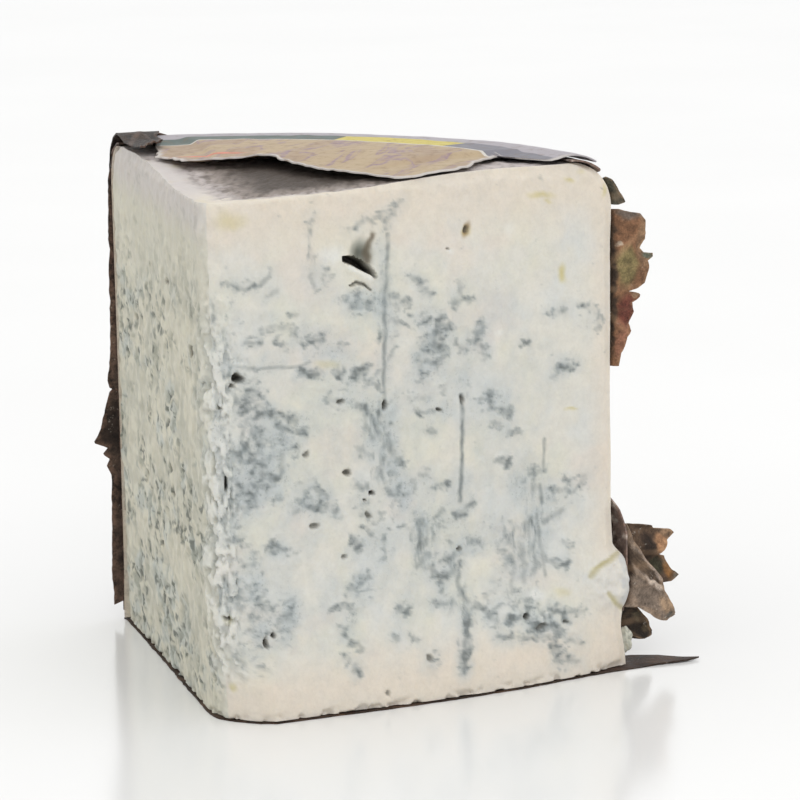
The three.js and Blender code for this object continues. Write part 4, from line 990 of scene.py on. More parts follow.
def leaf_relief(x, y, seed):
    """Fine crinkles and veins, between 0 and about 0.4 mm high."""
    coarse = 0.12 * (1 + noise(x / 4.2, y / 4.2, 0.5, seed))
    crinkle = coarse + 0.05 * (1 + noise(x / 1.6, y / 1.6, 0.5, seed + 1))
    return crinkle + 0.16 * vein_height(x, y)


def leaf_tint(x, y, seed, dark, light):
    """Blotches of two browns with dark, moist spots."""
    blotches = smooth(layered(x / 11, y / 11, seed, 4), -0.3, 0.4)
    tint = mix(filled(dark, x), filled(light, x), blotches[..., None])
    return lay(tint, 0.7 * smooth(layered(x / 2.6, y / 2.6, seed + 4), 0.05, 0.5), 0.6 * np.array(dark))


def make_leaf(node, slot, material, sheet, local, tint, edge):
    """Makes a leaf from a sheet. local gives each point's place on its leaf, edge is 1 at a torn margin."""
    x, y = local
    own_pattern = np.full(len(x), float(len(x) % 97))
    masks = {"leaf": np.stack([x, y, own_pattern], -1), "tint": tint, "edge": edge, "vein": vein_height(x, y)}
    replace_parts(make_piece(node, *sheet, slot, material, on_both_faces(masks)), node)


def margin(i, j, columns_mm, rows_mm, sides):
    """1 at the chosen sides of a grid, fading over about a millimetre."""
    near = {"start": j * rows_mm, "end": (1 - j) * rows_mm,
            "right": i * columns_mm, "left": (1 - i) * columns_mm}
    nearest = np.minimum.reduce([near[side] for side in sides])
    return 1 - smooth(nearest, 0.3, 1.6)


DARK_LEAF = ((54, 44, 38), (86, 71, 61))
BROWN_LEAF = ((74, 56, 44), (110, 85, 66))
BASE_BROWNS = ((62, 47, 39), (84, 66, 54))
BASE_EDGE = (52, 40, 34)
FLARE_PALE_AND_LIT = (132, 115, 108)
LEFT_SHOULDER_SHADE = (36, 30, 26)
PASTE_CRUMBS = (198, 188, 178)
LEAF_SPECKS = (196, 188, 176)


def grid_leaf(node, material, cells, size, place, height_at, stalk, turn, seed, sides):
    """A leaf on the wheel. place(i, j) gives its round and up, height_at(i, j, round_, up) its height."""
    def point_at(i, j, off):
        round_, up = place(i, j)
        relief = leaf_relief(*turned(round_, up, *stalk, turn), seed)
        relief = relief * (1 - 0.5 * smooth(up, SHOULDER_Z, CROWN_START))
        return on_wheel(round_, up, height_at(i, j, round_, up) + relief - SUNK + off)

    points, faces, i, j = grid_sheet(*cells, LEAF - SUNK, point_at)
    round_, up = place(i, j)
    local = turned(round_, up, *stalk, turn)
    tint = leaf_tint(*local, seed + 2, *DARK_LEAF)
    beside_cut = smooth(round_, HALF_RIM - 7, HALF_RIM - 2)
    # Beside the +X cut the leaves are painted paler grey-brown, partly painted light where they lie in shade.
    tint = lay(tint, 0.8 * beside_cut, FLARE_PALE_AND_LIT)
    # Painted shade darkens the leaves over the shoulder next to the -X cut.
    tint = lay(tint, 0.5 * (round_ < -HALF_RIM + 24) * smooth(up, 88, 98), LEFT_SHOULDER_SHADE)
    tint = lay(tint, beside_cut * smooth(layered(round_ / 1.3, up / 1.6, 57, 2), 0.2, 0.45), PASTE_CRUMBS)
    make_leaf(node, "leaf", material, (points, faces), local, tint, margin(i, j, *size, sides))


# Length that the leaves stand past the -X cut at each height: a toothed edge with one long tooth.
OVERHANG = [
    (3, 1.8), (12, 2.2), (22, 1.9), (31, 1.7), (33, 2.6), (34.4, 1.9), (35.5, 3.3), (36.8, 2.3),
    (38, 5.2), (41, 3.7), (46, 2.4), (48.5, 1.5), (51, 2.1), (56, 1.4), (67, 1.1), (92, 0.6), (96, 0),
]
EDGE_LEAF_TOP = 49


def overhang(z):
    return np.interp(z, *zip(*OVERHANG))


WRAP_EDGE_RADIUS = 78.5
WALL_SHARE = 0.66
SHOULDER_SHARE = 0.8


def wrap_leaf(node, material, start, left, right, inner, level, stalk, turn, seed):
    """A leaf that goes up the wall, over the shoulder and inwards on the top."""
    def place(i, j):
        far = mix(right(np.array(CROWN_START)), left(np.array(CROWN_START)), i)
        at_ends = smooth(np.abs(far), 30, 42)
        wall = mix(start(far), SHOULDER_Z, j / WALL_SHARE)
        shoulder = mix(SHOULDER_Z, CROWN_START, (j - WALL_SHARE) / (SHOULDER_SHARE - WALL_SHARE))
        depth = CROWN_RADIUS - mix(inner(far), WRAP_EDGE_RADIUS, at_ends)
        top = CROWN_START + depth * (j - SHOULDER_SHARE) / (1 - SHOULDER_SHARE)
        up = np.where(j < WALL_SHARE, wall, np.where(j < SHOULDER_SHARE, shoulder, top))
        return mix(right(up), left(up), i), up

    def height_at(i, j, round_, up):
        return pile_height(round_, up, level(round_, up))

    grid_leaf(node, material, (88, 180), (62, 130), place, height_at, stalk, turn, seed,
              ("start", "left", "right"))


def make_wraps(material):
    wrap_leaf(
        "wrap_leaf_left", material,
        start=lambda far: 2 + ragged(far, 61, 0.8),
        left=lambda up: -HALF_RIM - np.where(up > EDGE_LEAF_TOP, overhang(up), 0) + ragged(up, 63, 0.35),
        right=lambda up: (mix(8 + 8 * noise(up / 14, 3, 6, 65), -4.8, part(up))
                          + ragged(up, 66, 0.8) * (1 - part(up))),
        inner=lambda far: 59 + 5 * noise(far / 9, 1, 7, 68) - 8 * bump(far + 15, 0, 12, 1),
        level=lambda round_, up: 0, stalk=(-34, 4), turn=8, seed=70)
    wrap_leaf(
        "wrap_leaf_right", material,
        start=lambda far: 2 + 9 * smooth(far, HALF_RIM - 16, HALF_RIM - 2) + ragged(far, 71, 0.8),
        left=lambda up: (mix(-9 + 9 * noise(up / 13, 5, 8, 72), -4, part(up))
                         - ragged(up, 73, 0.8) * (1 - part(up))),
        right=lambda up: HALF_RIM - 7 * (smooth(up, 31, 37) - smooth(up, 97, 99.5)) + ragged(up, 75, 0.25),
        inner=lambda far: 60 + 8 * noise(far / 12, 2, 9, 77),
        level=climb, stalk=(30, 8), turn=-6, seed=78)


def make_edge_leaf(material):
    """The toothed margin of a leaf that shows past the -X cut. It spreads out behind the cut."""
    def place(i, j):
        height = mix(OVERHANG[0][0], EDGE_LEAF_TOP - 0.5, j)
        up = mix(height, mix(7, 57, j), 1 - i)
        inner = -HALF_RIM + 14 + 8 * noise(up / 8, 1, 10, 80) - 7 * np.abs(2 * j - 1) ** 3 + ragged(up, 81)
        return mix(inner, -HALF_RIM - overhang(height) - ragged(height, 83, 0.3), i), up

    def height_at(i, j, round_, up):
        return pile_height(round_, up, 1)

    grid_leaf("edge_leaf", material, (24, 120), (16, 50), place, height_at, (-44, -4), 14, 85,
              ("start", "end", "left", "right"))


def make_corner_leaf(material):
    """A dark leaf folded over the shoulder at the -X cut: lobed down the wall, torn on the top."""
    lowest, innermost = 72, 129

    def place(i, j):
        up = mix(lowest, innermost, j)
        lobes = 9 * np.abs(np.sin(i * 7)) * (1 - smooth(up, lowest, 92))
        torn = 7 * (1 - i) * smooth(up, CROWN_START, innermost)
        at_ends = np.maximum(1 - smooth(j, 0, 0.1), smooth(j, 0.9, 1))
        up = up + lobes - torn + ragged(i * 20, 91, 0.6) * at_ends
        inner = -HALF_RIM + mix(21, 8.5, smooth(up, 88, 108)) + 2 * noise(up / 5, 2, 12, 93)
        return mix(inner + ragged(up, 94, 0.7), -HALF_RIM + ragged(up, 96, 0.3), i), up

    def height_at(i, j, round_, up):
        on_label = label_level(round_, CROWN_RADIUS - (up - CROWN_START))
        curl = 0.9 * smooth(j, 0.86, 1) * (1 + noise(i * 4, 1, 1, 97))
        return pile_height(round_, up, 1 + np.where(up < CROWN_START, smooth(up, 86, 98), on_label)) + curl

    grid_leaf("corner_leaf", material, (30, 90), (18, 57), place, height_at, (-40, 66), 20, 98,
              ("start", "end", "right"))


def palmate(turn):
    """Reach of a lobed leaf's outline by the angle from its tip, as a share of its size."""
    lobes = [(0, 1), (52, 0.86), (-52, 0.9), (104, 0.55), (-106, 0.6)]
    reach = [length * np.exp(-(((turn - at + 180) % 360 - 180) / 20) ** 2) for at, length in lobes]
    return 0.46 + 0.54 * np.maximum.reduce(reach)


def torn_round(seed):
    """The same for a torn scrap of leaf."""
    def reach(turn):
        angle = np.radians(turn)
        return 0.85 + 0.5 * noise(2 * np.cos(angle), 2 * np.sin(angle), 0.5, seed)

    return reach


WALL_LEAVES = {
    "wrap_leaf_middle": dict(
        round_=-3, up=42, size=42, tilt=-14, outline=palmate, level=1, curl=0.5, seed=100, rings=46),
    "torn_leaf_left": dict(
        round_=-38, up=21, size=17, tilt=25, outline=torn_round(14), level=2.6, curl=3, seed=110, rings=22),
    "torn_leaf_right": dict(
        round_=24, up=62, size=19, tilt=-40, outline=torn_round(15), level=2.6, curl=2.4, seed=120, rings=24),
}


def wall_leaf(node, material, round_, up, size, tilt, outline, level, curl, seed, rings):
    """A leaf flat on the wall, with its edge curled off it. tilt turns its tip from upright."""
    spokes = 260 if size > 30 else 150

    def place(spoke, share):
        turn = 360 * spoke / spokes
        angle = np.radians(turn + tilt + 90)
        teeth = 0.035 * np.abs((turn / 5) % 2 - 1) + 0.03 * noise(spoke / 4, 1, 1, seed)
        reach = size * (outline(turn) + (teeth - 0.02) * share ** 3) * share
        return round_ - reach * np.cos(angle), np.clip(up + reach * np.sin(angle), 3, SHOULDER_Z - 2)

    def local(at_round, at_up):
        return turned(at_round, at_up, round_, up - 0.5 * size, tilt)

    def point_at(spoke, share, off):
        at_round, at_up = place(spoke, share)
        raised = curl * share ** 4 * (1 + 0.8 * noise(10 * spoke / spokes, 1, 1, seed + 1))
        pile = pile_height(at_round, at_up, level + climb(at_round, at_up))
        height = pile + leaf_relief(*local(at_round, at_up), seed + 2)
        return on_wheel(at_round, at_up, height - SUNK + raised + off)

    points, faces, spoke, share = disc_sheet(spokes, np.linspace(0, 1, rings + 1)[1:], LEAF - SUNK, point_at)
    at = local(*place(spoke, share))
    edge = 1 - smooth((1 - share) * size, 0.3, 1.8)
    make_leaf(node, "leaf_brown", material, (points, faces), at, leaf_tint(*at, seed + 4, *BROWN_LEAF), edge)


# Flaps: torn leaves that lie on the wrap beside the +X cut and then turn outwards. root is the stretch of
# heights where a flap leaves the rim; back is how far its bend is from the cut; drop is how many levels it
# comes down past the end of the wrap; tips are its free edge, each a reach off the rim and a height, from
# the top down; paint is spots laid over its ground colour: place, half sizes, turn in degrees and colour.
ROOT_LENGTH = 9
BEND_RADIUS = 2.4
FLAP_SUNK = 0.15
FLAP_ROW = 0.32
FLAP_STEPS = 48
FLAPS = {
    "flap_upper": dict(
        root=(90.4, 60.2), back=0.4, level=1, drop=1, wave=0.5,
        tips=[
            (1.2, 90.9), (3.8, 90.2), (6.4, 89.5), (7.1, 88.3), (6.8, 86.5), (7.5, 84.6), (7.2, 83.9),
            (6.4, 82.8), (7.2, 81.9), (9.1, 81.6), (8.8, 81), (7.7, 80.4), (7.9, 79), (8, 77.2),
            (7.5, 75.8), (5.8, 75), (3.6, 74.6), (5.2, 74.2), (6.1, 73.7), (5.4, 73.1), (4.4, 72.4),
            (4.9, 70.4), (4.3, 68.9), (3.6, 68.2), (4, 66.7), (3.2, 65.5), (2.8, 63.6), (2, 62.6),
            (1.5, 60),
        ],
        ground=(126, 92, 68),
        paint=[
            (3.2, 79.5, 3.2, 5, 0, (124, 112, 76)), (6.8, 84, 1.6, 7, 0, (134, 106, 82)),
            (4, 90.2, 4.5, 1.8, -8, (108, 96, 87)), (1.6, 84, 0.9, 0.7, 0, (190, 172, 152)),
            (8, 81.4, 1.6, 1.2, 0, (98, 102, 88)), (3.5, 70.5, 3.2, 4.6, 0, (106, 60, 50)),
            (2.6, 64, 2.4, 4.2, 0, (140, 98, 78)), (5.4, 74, 1.5, 0.8, 0, (150, 122, 98)),
            # Painted shade: a dark strip where the flap turns off the rim.
            (0.2, 76, 1.1, 18, 0, (58, 48, 40)),
        ],
    ),
    "flap_notch": dict(
        root=(94.5, 92.2), back=0.6, level=1, drop=1, wave=0,
        tips=[
            (0.5, 97), (1.3, 96), (1.8, 93.7), (3.1, 91.9), (1.4, 91.7),
        ],
        ground=(80, 78, 68),
        paint=[],
    ),
    "flap_tan": dict(
        root=(27.2, 14.5), back=4.2, level=2, drop=0, wave=0.7,
        tips=[
            (2.3, 27.2), (8, 26.1), (8.7, 25.3), (12.4, 24.6), (12.9, 24), (10.7, 22.9), (10.4, 20.8),
            (9.4, 20), (10.7, 19.4), (12, 16.9), (13.7, 15.4), (12.1, 14.3), (2.2, 14),
        ],
        ground=(92, 74, 60),
        paint=[
            # The second spot is painted shadow in the crack past the upper edge of flap_middle.
            (9.6, 22.2, 2, 3, 0, (172, 130, 96)), (6.6, 22, 1.8, 3.4, 0, (48, 38, 32)),
            (11.6, 24.4, 1.8, 1, 0, (150, 122, 96)), (8.6, 17.6, 2.4, 2.4, 0, (62, 60, 46)),
            (11.4, 16.6, 1.6, 1.8, 0, (130, 92, 54)), (13.2, 15.3, 1, 0.9, 0, (92, 90, 84)),
        ],
    ),
    "flap_middle": dict(
        root=(27, 11.6), back=0.5, level=1, drop=0, wave=0.6,
        tips=[
            (0.5, 28), (1.4, 24.6), (7.3, 16.5), (8.1, 14.8), (10.8, 11), (12, 9), (11.9, 8.2),
            (10.5, 7.3), (9.5, 8.3), (5.9, 10.6), (3.6, 11), (1.6, 11.2),
        ],
        ground=(138, 122, 108),
        paint=[
            (4, 18.6, 7.5, 1.7, -50, (84, 70, 58)), (6.2, 18.2, 7.5, 0.8, -50, (160, 146, 136)),
            (9.4, 10.6, 2.6, 1.6, -40, (166, 140, 114)), (6, 15.2, 3.8, 0.55, -31, (224, 206, 190)),
            # The last spot is painted shade: a dark strip where the flap turns off the rim.
            (11.4, 8.6, 1.4, 1.2, 0, (92, 90, 85)), (0.4, 18, 1, 8, 0, (64, 52, 44)),
        ],
    ),
    "flap_dark": dict(
        root=(9.8, 5.6), back=2.6, level=1, drop=0, wave=0.3,
        tips=[
            (0.8, 11.5), (2.3, 11.8), (4.2, 10.7), (7.3, 7.5), (8.2, 5.1), (7.8, 4.3), (5.7, 3.7),
            (2.4, 5.2), (0.9, 5.8),
        ],
        ground=(52, 44, 37),
        paint=[
            (4.5, 8.4, 1.8, 1.1, -40, (98, 88, 70)), (6.6, 5.6, 1.2, 1, 0, (92, 80, 62)),
        ],
    ),
}


def bend(length, back):
    """Plan of a flap at a length from its root: along the rim, round the bend, then straight out."""
    start = HALF_RIM - back - BEND_RADIUS
    turn = np.clip((length - ROOT_LENGTH) / BEND_RADIUS, 0, np.pi / 2)
    straight = np.maximum(length - ROOT_LENGTH - BEND_RADIUS * np.pi / 2, 0)
    round_ = start + np.minimum(length - ROOT_LENGTH, 0) + BEND_RADIUS * np.sin(turn)
    return round_, BEND_RADIUS * (1 - np.cos(turn)) + straight, -np.sin(turn), np.cos(turn)


def flap(node, material, root, back, level, drop, wave, tips, ground, paint, seed):
    reaches, heights = np.array(tips, float).T
    corners = np.linspace(0, 1, len(tips))
    length_mm = np.hypot(np.diff(reaches), np.diff(heights)).sum()

    def edge_at(down):
        reach, z = np.interp(down, corners, reaches), np.interp(down, corners, heights)
        soft = smooth(reach, 0.5, 3)
        reach = reach + soft * ragged(down * length_mm, seed, 0.4)
        return reach, z + soft * ragged(down * length_mm, seed + 2, 0.3)

    def place(i, j):
        reach_tip, z_tip = edge_at(1 - i)
        curved = ROOT_LENGTH + BEND_RADIUS * np.arccos(np.clip(1 - reach_tip / BEND_RADIUS, -1, 1))
        straight = ROOT_LENGTH + BEND_RADIUS * np.pi / 2 + reach_tip - BEND_RADIUS
        length = np.where(reach_tip < BEND_RADIUS, curved, straight) * j
        return length, mix(mix(root[0], root[1], 1 - i), z_tip, smooth(j, 0.3, 1))

    def point_at(i, j, off):
        length, z = place(i, j)
        round_, reach, face_round, face_out = bend(length, back)
        free = smooth(reach, 1, 6)
        ripple = wave * np.sin(z * 0.9 + 2 * level) * free
        ripple = ripple + 0.35 * noise(length / 2.4, z / 2.4, 0.5, seed + 4) * free
        relief = leaf_relief(z - root[1], length, seed + 5) - FLAP_SUNK
        face = ripple + off + relief * smooth(reach, 0.5, 2)
        lies = level - drop * smooth(round_, HALF_RIM - 6.6, HALF_RIM - 3.2)
        return on_wheel(round_ + face * face_round, z, pile_height(round_, z, lies) + reach + face * face_out)

    rows = int(length_mm / FLAP_ROW)
    points, faces, i, j = grid_sheet(rows, FLAP_STEPS, LEAF - FLAP_SUNK, point_at)
    length, z = place(i, j)
    reach = bend(length, back)[1]
    shade = 0.5 * smooth(layered(length / 3, z / 3, seed + 7), 0, 0.5)
    tint = lay(filled(ground, z), shade, 0.7 * np.array(ground))
    wobble = 0.6 * noise(length / 1.3, z / 1.3, 0.5, seed + 9)
    for spot in paint:
        tint = lay(tint, 0.95 * blob(reach + wobble, z + wobble, spot, 0.5), spot[5])
    make_leaf(node, "leaf_tan", material, (points, faces), (z - mix(*root, 0.5), length - 2), tint,
              1 - smooth((1 - j) * 14, 0.1, 0.8))


# The label: a sheet of paper stuck to the top, torn along its front, where it has come loose. Points of
# its torn edge are places in plan and the paper's lift there.
LABEL_RADIUS = 84.0
LABEL_START = 0.1 - HALF_ANGLE
LABEL_CENTRE = np.array([0.0, 68.0])
LABEL_SLACK = 0.12
TORN_EDGE = [
    (-30, 42.5, 0), (-22, 36.5, 0.5), (-18, 39, 0.9), (-15, 40, 0.8), (-11.5, 41, 0.9), (-8.5, 43, 1.3),
    (-4.5, 42, 1.3), (-2, 40, 1.2), (3, 37.5, 0.9), (12.5, 35, 0.4), (24.5, 33, 0), (27.7, 35.3, 0),
    (34.3, 45, 0), (33.2, 56.3, 0), (33.6, 62.5, 0), (38, 60.5, 0), (46.2, 58.7, 0),
]


def make_label(material):
    arc = np.linspace(HALF_ANGLE - 0.01, LABEL_START, 40)
    corners = [(*point, 1) for point in TORN_EDGE]
    corners += [(LABEL_RADIUS * math.sin(a), LABEL_RADIUS * math.cos(a), 0, 0) for a in arc]
    outline = evenly(corners, 0.5)
    distance = np.arange(len(outline)) * 0.5
    torn = outline[:, 3]
    rough_edge = (torn * (ragged(distance, 130, 1.3) + 0.5 * noise(distance / 7, 0.5, 0.5, 132)))[:, None]
    outline[:, :2] += unit(LABEL_CENTRE - outline[:, :2]) * rough_edge

    def place(spoke, share):
        return partway(LABEL_CENTRE, outline[spoke, :2].T, share)

    def point_at(spoke, share, off):
        x, y = place(spoke, share)
        round_, up = wheel_place(x, y)
        loose = smooth(share, 0.5, 1)
        wave = noise(distance[spoke] / 5, 0.5, 0.5, 134) + 0.5 * noise(distance[spoke] / 1.4, 0.5, 0.5, 135)
        flutter = torn[spoke] * smooth(share, 0.88, 1) * (0.4 + 0.4 * wave)
        lift = LABEL_SLACK + outline[spoke, 2] * loose + flutter * smooth(outline[spoke, 2], 0, 0.4)
        wrinkles = 0.1 * noise(x / 3.5, y / 3.5, 0.5, 136)
        level = label_level(round_, np.hypot(x, y))
        return on_wheel(round_, up, pile_height(round_, up, level) + lift + wrinkles + off)

    shares = np.linspace(0, 1, 71)[1:] ** 0.85
    points, faces, spoke, share = disc_sheet(len(outline), shares, LABEL - LABEL_SLACK, point_at)
    x, y = place(spoke, share)
    fringe = (1 - share) * np.hypot(x - LABEL_CENTRE[0], y - LABEL_CENTRE[1]) / np.maximum(share, 0.05)
    masks = {"plan": np.stack([x, y, 0 * x], -1), "bare": torn[spoke] * (1 - smooth(fringe, 0.4, 1.3))}
    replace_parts(make_piece("label", points, faces, "label", material, on_both_faces(masks)), "label")


# The leaf under the wedge: flat where the wedge stands on it, with a long point that sticks out.
BASE_PROUD = 0.4
BASE_CENTRE = np.array([0.0, 50.0])
BASE_POINT = [
    (50, 55.4), (53.8, 61.2), (58.1, 66.6), (62.1, 71.4), (64.6, 73.8), (67.1, 76.2), (68.3, 78.7),
    (65.1, 77.5), (60.2, 77.6), (54.8, 76.2),
]


def proud_of(side, distance):
    return along_face(side) * distance + face_normal(side) * (spread(side, distance) + BASE_PROUD)


def base_outline(step):
    tip_centre = np.array([0, TIP_RADIUS_AT_BASE / math.sin(HALF_ANGLE)])
    tangent = TIP_RADIUS_AT_BASE / math.tan(HALF_ANGLE)
    corners = []
    for share in np.linspace(-1, 1, 9):
        turn = share * (math.pi / 2 - HALF_ANGLE)
        reach = TIP_RADIUS_AT_BASE + spread(1, share * tangent) + BASE_PROUD
        corners.append(tip_centre + reach * np.array([math.sin(turn), -math.cos(turn)]))
    corners += [proud_of(1, distance) for distance in (22, 34, 50, 64)]
    corners += [np.array(point) for point in BASE_POINT]
    for angle in np.linspace(HALF_ANGLE - 0.05, -HALF_ANGLE, 28):
        reach = float(wall_radius(0.0)) + 0.6 + float(noise(angle * 8, 1, 16, 140))
        corners.append(reach * np.array([math.sin(angle), math.cos(angle)]))
    corners += [proud_of(-1, distance) for distance in (RIM_RADIUS, 60, 30)]
    return evenly(corners, step)


def make_base_leaf(material):
    step = 0.6
    outline = base_outline(step)
    distance = np.arange(len(outline)) * step
    uneven = np.clip(ragged(distance, 142, 0.35), -0.3, 0.4)[:, None]
    outline = outline + unit(outline - BASE_CENTRE) * uneven

    def place(spoke, share):
        return partway(BASE_CENTRE, outline[spoke].T, share)

    def point_at(spoke, share, off):
        x, y = place(spoke, share)
        past = np.maximum(np.hypot(x, y) - RIM_RADIUS - 4, 0)
        wavy = 0.02 * past + 0.1 * smooth(past, 0, 5) * (1 + noise(x / 4, y / 4, 0.5, 144))
        return np.stack([x, y, wavy + off * mix(0.7, 1, smooth(past, 0, 2))], -1)

    shares = np.linspace(0, 1, 41)[1:] ** 0.6
    points, faces, spoke, share = disc_sheet(len(outline), shares, BASE_LEAF, point_at)
    x, y = place(spoke, share)
    edge = 1 - smooth((1 - share) * 50, 0.2, 0.8)
    tint = lay(leaf_tint(x, y, 146, *BASE_BROWNS), 0.6 * edge, BASE_EDGE)
    make_leaf("base_leaf", "leaf_brown", material, (points, faces), (x - 8, y - 20), tint, 0 * edge)


def leaf_look(name, vein, specks, shine):
    """A cured leaf: the tint of its blotches, its veins, fine mottling, pale specks and torn edges."""
    look = Look(name)
    place = look.mask("leaf", vector=True)
    mottle = look.noise(place, 0.8, 5, 0.7)
    fine = look.noise(place, 2.6, 4, 0.65)
    shade = look.times(look.ramp(mottle, 0.3, 0.7, 0.6, 1.3), look.ramp(fine, 0.3, 0.7, 0.8, 1.2))
    colour = look.blend(1.0, look.mask("tint", vector=True), shade, "MULTIPLY")
    veins = look.mask("vein")
    worn = look.times(veins, look.ramp(look.noise(place, 0.22, 3), 0.3, 0.6, 0.15, 0.65))
    lighter = look.blend(1.0, colour, (1.6, 1.6, 1.6, 1.0), "MULTIPLY")
    colour = look.blend(worn, colour, look.blend(0.35, lighter, linear(*vein)))
    torn = look.times(look.mask("edge"), look.ramp(mottle, 0.35, 0.65, 0.0, 0.5))
    colour = look.blend(torn, colour, linear(*vein))
    dots = look.times(look.ramp(look.noise(place, 0.42, 2), 0.64, 0.7), look.ramp(fine, 0.5, 0.6))
    colour = look.blend(look.times(dots, specks), colour, linear(*LEAF_SPECKS))
    relief = look.plus(look.times(veins, 0.4), look.plus(mottle, look.times(fine, 0.4)))
    rough = look.plus(look.ramp(mottle, 0.3, 0.7, shine, shine + 0.2), look.times(dots, 0.2))
    return look.finish(
        Base_Color=colour, Roughness=rough, Normal=look.bump(relief, 0.3), Specular_IOR_Level=0.18)


# The label's plain print: radii and angles of its ring of fields, and its colours.
RING_INNER = 68.0
RING_OUTER = 75.5
RULE_HALF = 0.35
RED_LINE_RADIUS = 50.0
FIELD_PERIOD = math.radians(60)
FIELD_SHARE = 0.35
FIELD_MIDDLE = math.radians(7)
LABEL_GROUND = ((181, 162, 133), (166, 145, 124))
LABEL_STROKE = (146, 126, 146)
LABEL_RED = (226, 128, 112)
LABEL_PLAIN = ((96, 108, 104), (128, 127, 134))
LABEL_YELLOW = (200, 186, 100)
LABEL_BORDER = (168, 163, 168)
LABEL_RULE = (206, 202, 194)
LABEL_STAIN = (134, 116, 98)
LABEL_FIBRES = (198, 193, 188)


def label_ground(look, plan, x, reach, blot):
    """Two washes of tan with thin strokes, and a red line at the left."""
    stretched = look.add("ShaderNodeMapping", {"Vector": plan, "Scale": (1, 0.25, 1)})
    wash = look.noise(stretched, 0.11, 3, 0.55, 1.2)
    ground = look.blend(look.ramp(wash, 0.35, 0.65), *(linear(*tone) for tone in LABEL_GROUND))
    stroke = look.times(look.ramp(look.apart(wash, 0.5), 0.03, 0.0), look.ramp(blot, 0.35, 0.6, 0.1, 0.8))
    ground = look.blend(stroke, ground, linear(*LABEL_STROKE))
    red = look.ramp(look.apart(look.plus(reach, blot), RED_LINE_RADIUS), 0.8, 0.3)
    return look.blend(look.times(red, look.ramp(x, -10, -20, 0, 0.8)), ground, linear(*LABEL_RED))


def label_ring(look, x, y):
    """A ring of yellow fields with plain ones between them."""
    turn = look.plus(look.math("ARCTAN2", x, y), FIELD_PERIOD * 1.5 - FIELD_MIDDLE)
    field = look.math("FRACT", look.math("DIVIDE", turn, FIELD_PERIOD))
    between = look.math("GREATER_THAN", look.apart(field, 0.5), FIELD_SHARE / 2)
    plain = look.blend(look.ramp(x, -6, 20), *(linear(*tone) for tone in LABEL_PLAIN))
    return look.blend(between, linear(*LABEL_YELLOW), plain)


def label_look():
    """Printed paper: a tan ground, a ring of fields round it, a pale border, stains and bare torn edges."""
    look = Look("label_print")
    plan = look.mask("plan", vector=True)
    x, y = (look.add("ShaderNodeSeparateXYZ", {0: plan}, axis) for axis in "XY")
    reach = look.math("SQRT", look.plus(look.times(x, x), look.times(y, y)))
    blot = look.noise(plan, 0.5, 4, 0.6)
    ground = label_ground(look, plan, x, reach, blot)
    colour = look.blend(look.math("GREATER_THAN", reach, RING_INNER), ground, label_ring(look, x, y))
    colour = look.blend(look.math("GREATER_THAN", reach, RING_OUTER), colour, linear(*LABEL_BORDER))
    rule = look.math("LESS_THAN", look.apart(reach, RING_INNER), RULE_HALF)
    colour = look.blend(rule, colour, linear(*LABEL_RULE))
    colour = look.blend(look.ramp(blot, 0.5, 0.75, 0, 0.55), colour, linear(*LABEL_STAIN))
    bare = look.times(look.mask("bare"), look.ramp(blot, 0.2, 0.5))
    colour = look.blend(bare, colour, linear(*LABEL_FIBRES))
    return look.finish(
        Base_Color=colour, Roughness=look.ramp(blot, 0.3, 0.7, 0.5, 0.65), Specular_IOR_Level=0.22,
        Normal=look.bump(look.noise(plan, 2.6, 3), 0.05))


FLOOR_TONES = ((236, 236, 235), (239, 239, 238))


def make_floor():
    look = Look("studio_floor")
    at = look.add("ShaderNodeTexCoord", {}, "Object")
    patches = look.ramp(look.noise(at, 6.0, 2), 0.3, 0.7)
    colour = look.blend(patches, *(linear(*tone) for tone in FLOOR_TONES))
    material = look.finish(Base_Color=colour, Roughness=0.16, IOR=1.8)
    mesh = bpy.data.meshes.new("studio_floor")
    half, cells = 6.0, 24
    ticks = np.linspace(-half, half, cells + 1)
    x, y = np.meshgrid(ticks, ticks)
    corners = np.stack([x.ravel(), y.ravel(), np.zeros(x.size)], -1)
    mesh.from_pydata(corners.tolist(), [], grid_cells(cells, cells).tolist())
    mesh.materials.append(material)
    floor = bpy.data.objects.new("studio_floor", mesh)
    bpy.context.scene.collection.objects.link(floor)


# Camera and light.

CAMERA_PLACE = np.array([0.32526, -0.69571, 0.20275])
CAMERA_AZIMUTH = math.radians(31.83)
CAMERA_DROP = math.radians(7.41)
CAMERA_ROLL = math.radians(-2.156)
PHOTO_FOCAL = 1775.27             # pixels, in the whole photograph
WEDGE_IN_PHOTO = (651.5, 504.0)   # pixel in the middle of the wedge
PHOTO_MIDDLE = 400.0
FILL_FOCAL = 4000.0               # pixels, so that the wedge alone fills the frame
SENSOR_MM = 36.0
FRAME_PIXELS = 800.0
WORLD_LIGHT = 1.02


def camera_axes():
    """Right, up and forward of a camera that stands where the photograph's did and looks at the wedge."""
    forward = np.array([-math.sin(CAMERA_AZIMUTH) * math.cos(CAMERA_DROP),
                        math.cos(CAMERA_AZIMUTH) * math.cos(CAMERA_DROP), -math.sin(CAMERA_DROP)])
    level = unit(np.cross(forward, [0, 0, 1]))
    upright = np.cross(level, forward)
    right = math.cos(CAMERA_ROLL) * level + math.sin(CAMERA_ROLL) * upright
    up = -math.sin(CAMERA_ROLL) * level + math.cos(CAMERA_ROLL) * upright
    over, down = ((pixel - PHOTO_MIDDLE) / PHOTO_FOCAL for pixel in WEDGE_IN_PHOTO)
    aim = unit(forward + over * right - down * up)
    right = unit(np.cross(aim, up))
    return right, np.cross(right, aim), aim


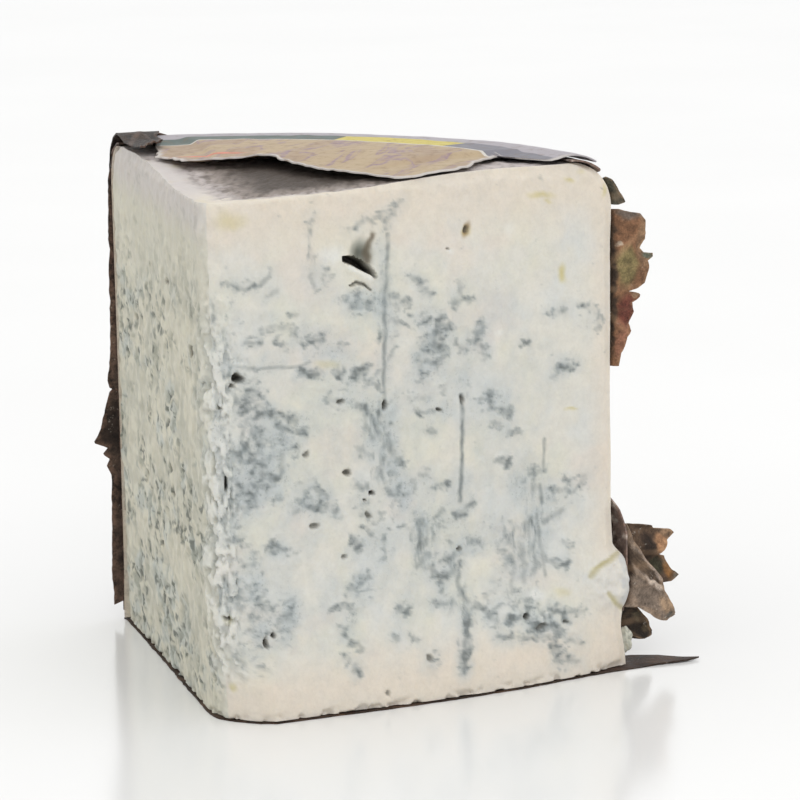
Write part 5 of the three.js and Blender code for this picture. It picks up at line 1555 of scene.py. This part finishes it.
def make_camera():
    right, up, aim = camera_axes()
    data = bpy.data.cameras.new("camera")
    data.sensor_width = SENSOR_MM
    data.lens = FILL_FOCAL / FRAME_PIXELS * SENSOR_MM
    data.clip_start, data.clip_end = 0.05, 50
    camera = bpy.data.objects.new("camera", data)
    rotation = Matrix([list(row) for row in np.stack([right, up, -aim], -1)]).to_4x4()
    camera.matrix_world = Matrix.Translation(CAMERA_PLACE.tolist()) @ rotation
    bpy.context.scene.collection.objects.link(camera)
    bpy.context.scene.camera = camera


def add_softbox(name, place, size, power, target=(0, 0, 0.05)):
    data = bpy.data.lights.new(name, "AREA")
    data.shape = "RECTANGLE"
    data.size, data.size_y = size
    data.energy = power
    light = bpy.data.objects.new(name, data)
    light.location = place
    light.rotation_euler = (Vector(target) - Vector(place)).to_track_quat("-Z", "Y").to_euler()
    bpy.context.scene.collection.objects.link(light)


def make_light():
    world = bpy.data.worlds.new("studio")
    world.use_nodes = True
    background = world.node_tree.nodes["Background"]
    background.inputs["Color"].default_value = (1.0, 1.0, 1.0, 1)
    background.inputs["Strength"].default_value = WORLD_LIGHT
    bpy.context.scene.world = world
    add_softbox("key", (0.9, -0.9, 0.9), (0.9, 0.9), 3.2)
    add_softbox("top", (0.0, 0.1, 1.5), (1.2, 1.2), 2)
    bpy.context.scene.view_settings.view_transform = "Standard"
    bpy.context.scene.view_settings.look = "None"


def main():
    make_camera()
    make_light()
    make_floor()
    paste = cheese_look()
    make_cheese(paste)
    make_crumb(paste)
    dark_leaf = leaf_look("leaf_dark", vein=(142, 112, 96), specks=0.4, shine=0.4)
    brown_leaf = leaf_look("leaf_brown", vein=(150, 118, 94), specks=0.3, shine=0.45)
    tan_leaf = leaf_look("leaf_tan", vein=(176, 144, 112), specks=0.6, shine=0.5)
    make_wraps(dark_leaf)
    make_edge_leaf(dark_leaf)
    make_corner_leaf(dark_leaf)
    for node, shape in WALL_LEAVES.items():
        wall_leaf(node, brown_leaf, **shape)
    for number, (node, shape) in enumerate(FLAPS.items()):
        flap(node, tan_leaf, seed=160 + 10 * number, **shape)
    make_base_leaf(brown_leaf)
    make_label(label_look())


main()
